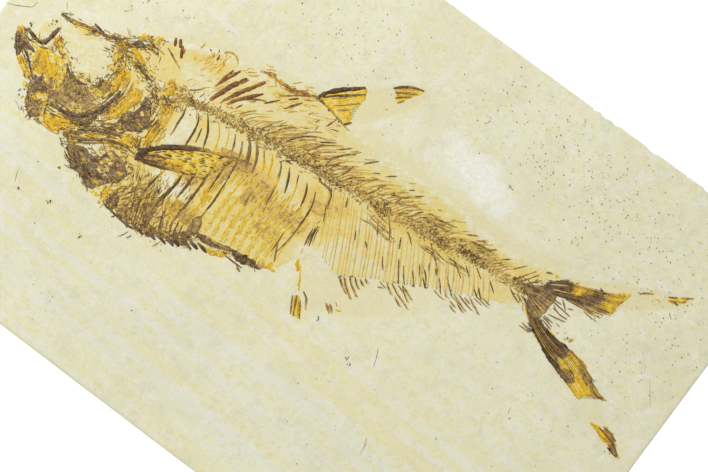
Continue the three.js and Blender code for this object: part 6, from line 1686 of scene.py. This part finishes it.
bones(
    "tail_lower_lobe_rays", tail_finish, "tail_lower_lobe", slot="fin_bone",
    plates=[
        (0.7, 0.16, [(86, 27), (90, 26), (93, 26.4), (97, 25), (102, 23.6), (108, 24.2), (110.6, 22.8), (110, 19.6), (112, 17.6), (110.6, 16.6), (110.8, 13.6),
                     (105, 14.8), (101, 16.8), (96, 19.3), (91, 21.6), (88, 24)]),
        (0.8, 0.76, [(110.4, 23.6), (114, 23.2), (118.6, 22.6), (123, 20.2), (126, 18.4), (129, 16.7), (134.4, 15.6), (132, 14.2), (128.6, 13), (126.6, 11.4),
                     (125.4, 9), (122, 9.8), (119, 10.8), (116.6, 11.8), (119.6, 13.4), (117, 16), (112.6, 17.2), (110.4, 18.6)],
         (2.6, 0.36, 0.7, [(117.4, 21.6), (121, 19), (123.4, 17.4)]), (1.4, 0.96, 0.7, [(112, 16.6), (116, 17.4)]),
         (1.4, 0.3, 0.8, [(125, 17.6), (128, 15.4), (133, 15)]), (1.2, 0.4, 0.7, [(113, 22.6), (117, 22)]),
         (1.0, 0.94, 0.7, [(112, 20), (118, 18)]), (1.0, 0.92, 0.7, [(119, 15), (126, 13)]), (1.0, 0.9, 0.6, [(120, 12), (124, 10.6)])),
        (0.9, 0.24, [(108.6, 14.8), (112.6, 14.6), (114, 16.8), (117.6, 16.6), (120, 14.2), (119.4, 12.6), (116.8, 11.4), (112, 12.8)]),
        (0.8, 0.84, [(107.6, 18), (109.6, 19.6), (112.6, 19), (117, 17.4), (114.4, 15.8), (111, 15.4), (108.6, 16)]),
        (0.3, 0.88, [(92, 20.4), (97, 18), (102, 15.8), (104, 14.8), (101, 17), (96, 19.6)]),
        (0.3, 0.82, [(97.6, 25), (101, 25.2), (104, 24), (100, 23.6)]),
        (0.3, 0.74, [(106.4, 25.4), (108, 26.6), (109.4, 27.8), (108.6, 25.6)]),
    ],
    rays=[
        *[(0.5, 0.9, line) for line in fan(
            [(92, 25.8, 0.2), (98, 24.4, 0.15), (104, 23.6, 0.15), (110, 23.2, 0.5), (116, 22.4, 0.66), (122, 20.2, 0.6), (128, 17, 0.66), (133.6, 15.4, 0.7)],
            [(88.6, 23.8, 0.2), (93, 21.2, 0.12), (99, 18.2, 0.1), (105, 15.3, 0.12), (111, 13.5, 0.3), (116, 12, 0.5), (121, 10.6, 0.76), (125, 9.4, 0.82)],
            14, 0.22, chance)],
        *[(0.6, 0.8, [(x, y, 0.2), (x + 3, y - 1.2, 0.3), (x + 6.4, y - 2.2, 0.6)]) for x, y in ((120, 21), (123, 19), (126, 16.8), (121, 17.4))],
        *[(0.34, 1.15, line) for line in fan([(92, 25, 0.5), (102, 21.6, 0.66), (109, 20.8, 0.5)], [(91, 23, 0.45), (101, 18.4, 0.62), (108, 16.2, 0.5)],
                                             5, 0.3, chance)],
        (0.7, 0.9, [(111.6, 22.9, 0.3), (115, 22.5, 0.25), (118.4, 21.6, 0.4)]),
        (0.7, 0.9, [(118, 21, 0.3), (121, 19, 0.25), (124.6, 17.8, 0.4), (128, 16, 0.4), (131, 14.2, 0.5)]),
        (0.7, 0.9, [(128.4, 15.4, 0.3), (131, 14.6, 0.3), (134.8, 15.6, 0.6)]), (0.6, 0.9, [(127, 14, 0.4), (130.6, 13.2, 0.4)]),
        (0.8, 0.8, [(82.4, 30, 0.3), (85, 28, 0.2), (88, 25.4, 0.25)]), (0.7, 0.7, [(84, 27.6, 0.7), (87.4, 24.8, 0.66), (91, 22.2, 0.75)]),
    ],
    strewn=[([(110, 18), (111.6, 22)], 1.6, 26, 2.2, 0.5, (0.05, 0.35), 12), ([(113, 16), (118, 14)], 2.2, 36, 1.8, 0.5, (0.05, 0.35), 20),
            ([(92, 23), (108, 18)], 4, 60, 3, 0.4, (0.0, 0.3), 6)],
    crumbled=[([(106, 26), (108.6, 27)], 1.2, 14, 0.6, (0.2, 0.6))],
)
bones(
    "tail_lower_tip_rays", fin_finish, "tail_lower_tip", slot="fin_bone",
    plates=[(0.5, 0.74, [(134.8, 4.5), (138, 5.4), (140.4, 5.6), (141.4, 7.6), (143, 6.4), (145.4, 6.8), (147, 4.8), (149.4, 3.6), (150.6, 1.6),
                         (153.2, -0.4), (150, -0.9), (147.6, -0.2), (146, 1), (142, 1.4), (140, 2.6)],
             (1.6, 0.4, 0.8, [(141, 6.4), (145, 5), (148, 3.4)]), (2, 0.25, 0.8, [(147, 1), (151, 0)]))],
    rays=[
        (0.8, 0.9, [(139, 5, 0.4), (143, 4.2, 0.25), (147, 2.8, 0.25), (151.4, 0.6, 0.3)]),
        (0.8, 0.9, [(140.4, 6.4, 0.35), (144, 5.8, 0.3), (148, 4.4, 0.4)]),
        (0.6, 0.9, [(138.6, 3.4, 0.4), (142, 2.6, 0.5), (145.6, 2.4, 0.5), (147.6, 0.6, 0.3)]),
        (0.7, 0.9, [(146.6, 0.4, 0.2), (149, -0.2, 0.15), (151.2, -0.6, 0.2)]), (0.5, 0.9, [(142, 5.2, 0.5), (146, 4, 0.4), (150, 1.8, 0.4)]),
        (0.6, 0.8, [(135.6, 4.5, 0.6), (138, 4.6, 0.6)]),
    ],
)

# ---- small marks round the fish ----
# Fine bones and scales along the back, left between the predorsal bones and the back fin, and a
# few splinters that drifted off.

BACK_MARKS = [
    (0.9, [(-50.2, 29.8, 0.3), (-48, 32.2, 0.25), (-45.6, 34.9, 0.35)]), (1.1, [(-47.2, 35.8, 0.6), (-43.6, 38.6, 0.5), (-40, 41.4, 0.45), (-35.6, 44, 0.5)]),
    (0.9, [(-43.2, 36.8, 0.4), (-41.8, 38.2, 0.3), (-40, 39.8, 0.4)]), (1.1, [(-42.2, 33, 0.4), (-40.2, 36, 0.3), (-37.6, 39.4, 0.45)]),
    (0.7, [(-24.2, 37.3, 0.35), (-23.4, 39.4, 0.3), (-22.6, 41.6, 0.4)]), (0.5, [(-22.7, 37.2, 0.35), (-21, 38, 0.3), (-18.8, 38.7, 0.4)]),
    (0.6, [(-28.7, 35.9, 0.35), (-27.9, 38.2, 0.4)]), (0.5, [(-27.1, 33.2, 0.6), (-26.8, 35.8, 0.6)]), (0.5, [(-33, 36.6, 0.7), (-31.8, 39.2, 0.7)]),
    (1.0, [(-56.8, 40.2, 0.25), (-55.6, 40.9, 0.3)]), (0.6, [(-54.4, 40.8, 0.4), (-53.4, 40.9, 0.5)]), (0.7, [(-51.4, 40.2, 0.5), (-48, 41, 0.6), (-45.6, 40.8, 0.6)]),
    (0.9, [(-44.4, 41.8, 0.3), (-43.4, 42.4, 0.4)]), (1.0, [(-41.4, 41.9, 0.4), (-38.2, 43, 0.4), (-35.6, 44.2, 0.4)]),
    (0.6, [(-79.6, 15, 0.55), (-76, 17.4, 0.5), (-73.4, 20.2, 0.6)]), (0.5, [(-73, 15.8, 0.4), (-72.2, 18.8, 0.5)]),
    (1.1, [(-58.4, 40.3, 0.5), (-52, 40.7, 0.6), (-45, 41, 0.5), (-38, 43.6, 0.5), (-33, 44.6, 0.4)]),
    (0.9, [(-8.8, 57.4, 0.84), (-8, 58, 0.86)]), (0.7, [(-51.6, 39.6, 0.6), (-50.4, 38.2, 0.6)]), (0.6, [(-38, 40.6, 0.6), (-34, 43, 0.6)]),
]
YELLOW_BACK = [[(-64, 36), (-58, 39.6), (-52, 40.2)], [(-50, 36), (-42, 42), (-36, 44)], [(-46, 31), (-38, 38), (-30, 43)], [(-30, 36), (-20, 40)]]
bones(
    "marks_of_the_back", splint_bone, slot="brown_bone",
    rays=[(width, 0.7, line) for width, line in BACK_MARKS],
    strewn=[(line, 3, 20, 3.6, 0.5, (0.76, 0.92), 8) for line in YELLOW_BACK]
    + [([(-58, 40), (-52, 40.6), (-45, 40.6), (-38, 43.2), (-33, 44.4)], 1.4, 60, 2.4, 0.45, (0.3, 0.8), 10)]
    + [([(-84, 30), (-72, 33)], 4, 24, 3, 0.6, (0.76, 0.9), 12, 66), ([(-78, 22), (-60, 26)], 5, 30, 3.4, 0.4, (0.82, 0.94), 12, 36)],
    crumbled=[([(-82, 14.4), (-73, 13)], 2.2, 90, 0.8, (0.2, 0.6))],
)

# ---- specks and cracks in the rock ----
# Small dark grains of iron and manganese minerals, most of them on the tail's side of the slab,
# and a few hairline cracks that clay has filled.

SPECKLED = [
    (150, [(22, 96), (70, 92), (110, 88)], 20),
    (120, [(20, 76), (70, 78), (130, 78)], 16),
    (90, [(80, 60), (120, 62), (148, 56)], 20),
    (70, [(105, 24), (130, 34), (150, 40)], 22),
    (26, [(96, 0), (130, -10), (148, -30)], 24),
    (40, [(-20, 90), (-50, 80), (-20, 64)], 22),
    (22, [(-50, 68), (-34, 74), (-22, 60)], 12),
    (30, [(20, -50), (70, -60), (130, -80)], 60),
    (20, [(-130, 60), (-90, 80)], 50),
    (18, [(-130, -70), (-60, -80)], 40),
]
BIG_SPECKS = [(-97, -55), (-111, -58.5), (-79, -59), (-139, 6), (-139.3, 3.7), (-146, -1), (-125, -3),
              (20, -28), (39, -34), (41, -35.5), (-102, -41.3)]
FAINT_SPECKS = [(-114.5, 34), (-118, 27.5), (-110, 28), (-96.5, 39), (50, 62), (-20, 58)]
SPECK_TONES = [(0.0, srgb(64, 56, 40)), (0.4, srgb(112, 104, 80)), (0.8, srgb(176, 168, 136)), (1.2, srgb(226, 222, 194))]
speck_finish = bone_finish("dark specks in the rock", 0.1, 0.2, 0.6, tones=SPECK_TONES, shards=0.1)
bones(
    "dark_specks_in_the_rock", speck_finish, slot="limestone", lift=0.3,
    crumbled=[(line, spread, count, 0.62, (0.05, 0.75)) for count, line, spread in SPECKLED]
    + [([(x, y), (x + 0.4, y + 0.3)], 0.9, 5, 0.9, (0.0, 0.5)) for x, y in BIG_SPECKS]
    + [([(x, y), (x + 1.5, y + 0.6)], 1.6, 5, 0.7, (0.5, 0.85)) for x, y in FAINT_SPECKS],
)

CRACKS = [
    [(-159.6, 0, 0.5), (-156.6, 1, 0.4), (-153, 3, 0.4), (-150, 5, 0.5), (-149.4, 8, 0.8)],
    [(-140, 15, 0.7), (-139, 14, 0.6), (-138, 12.5, 0.7)], [(-115, -52, 0.8), (-114, -54.6, 0.7), (-113, -57, 0.8)],
    [(27, 76.6, 0.8), (28, 78, 0.6), (28.4, 80, 0.8)], [(47, -23, 0.6), (48.6, -26, 0.5), (50, -30, 0.8)],
    [(65, -55, 0.8), (66.4, -58, 0.7), (67, -62, 0.9)], [(-133, -30, 0.8), (-131, -30.8, 0.7), (-129, -32.5, 0.8)],
    [(134, 60, 0.5), (135, 59, 0.3), (136.2, 58.3, 0.6)], [(144, 33, 0.95), (148, 28, 0.9), (151, 24, 0.95)],
    [(105, -10, 0.7), (105.4, -11.6, 0.6), (106, -13, 0.8)],
]
bones(
    "filled_cracks_in_the_rock", speck_finish, slot="limestone",
    rays=[(0.32, 0.16, line) for line in CRACKS],
)


# ---- the table, the lights and the camera ----

def emission_sheet():
    material = bpy.data.materials.new("white table")
    material.use_nodes = True
    shader = material.node_tree.nodes["Principled BSDF"]
    plug(shader, "Base Color", srgb(250, 250, 250))
    plug(shader, "Roughness", 0.9)
    plug(shader, "Emission Color", (1, 1, 1, 1))
    plug(shader, "Emission Strength", 0.55)
    return material

floor_maker = bmesh.new()
bmesh.ops.create_grid(floor_maker, x_segments=1, y_segments=1, size=3)
floor_mesh = bpy.data.meshes.new("table")
floor_maker.to_mesh(floor_mesh)
floor_maker.free()
floor = bpy.data.objects.new("table", floor_mesh)
bpy.context.collection.objects.link(floor)
floor_mesh.materials.append(emission_sheet())
floor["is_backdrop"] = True

world = bpy.data.worlds.new("studio")
world.use_nodes = True
world.node_tree.nodes["Background"].inputs["Color"].default_value = (1, 1, 1, 1)
world.node_tree.nodes["Background"].inputs["Strength"].default_value = 0.46
bpy.context.scene.world = world
bpy.context.scene.view_settings.view_transform = "Standard"

TURN = math.radians(36.6)  # the fish lies aslant in the view
AIM = Vector((11.7, 8.1, BED)) * MM
VIEW_WIDTH = 289.9 * MM


def lamp(name, azimuth, elevation, size, power):
    """A square soft light that looks at the slab from a direction seen in the camera's view."""
    data = bpy.data.lights.new(name, "AREA")
    data.size, data.energy = size, power
    thing = bpy.data.objects.new(name, data)
    bpy.context.collection.objects.link(thing)
    turn, rise = math.radians(azimuth) + TURN, math.radians(elevation)
    away = Vector((math.cos(turn) * math.cos(rise), math.sin(turn) * math.cos(rise), math.sin(rise)))
    thing.location = AIM + away * 1.2
    thing.rotation_euler = away.to_track_quat("Z", "Y").to_euler()


lamp("window", 120, 42, 0.5, 9.2)
lamp("fill", -60, 50, 0.9, 2.1)

lens = bpy.data.cameras.new("camera")
lens.lens = 85
camera = bpy.data.objects.new("camera", lens)
bpy.context.collection.objects.link(camera)
camera.location = AIM + Vector((0, 0, VIEW_WIDTH * lens.lens / lens.sensor_width))
camera.rotation_euler = (0, 0, TURN)
bpy.context.scene.camera = camera

low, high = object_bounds()
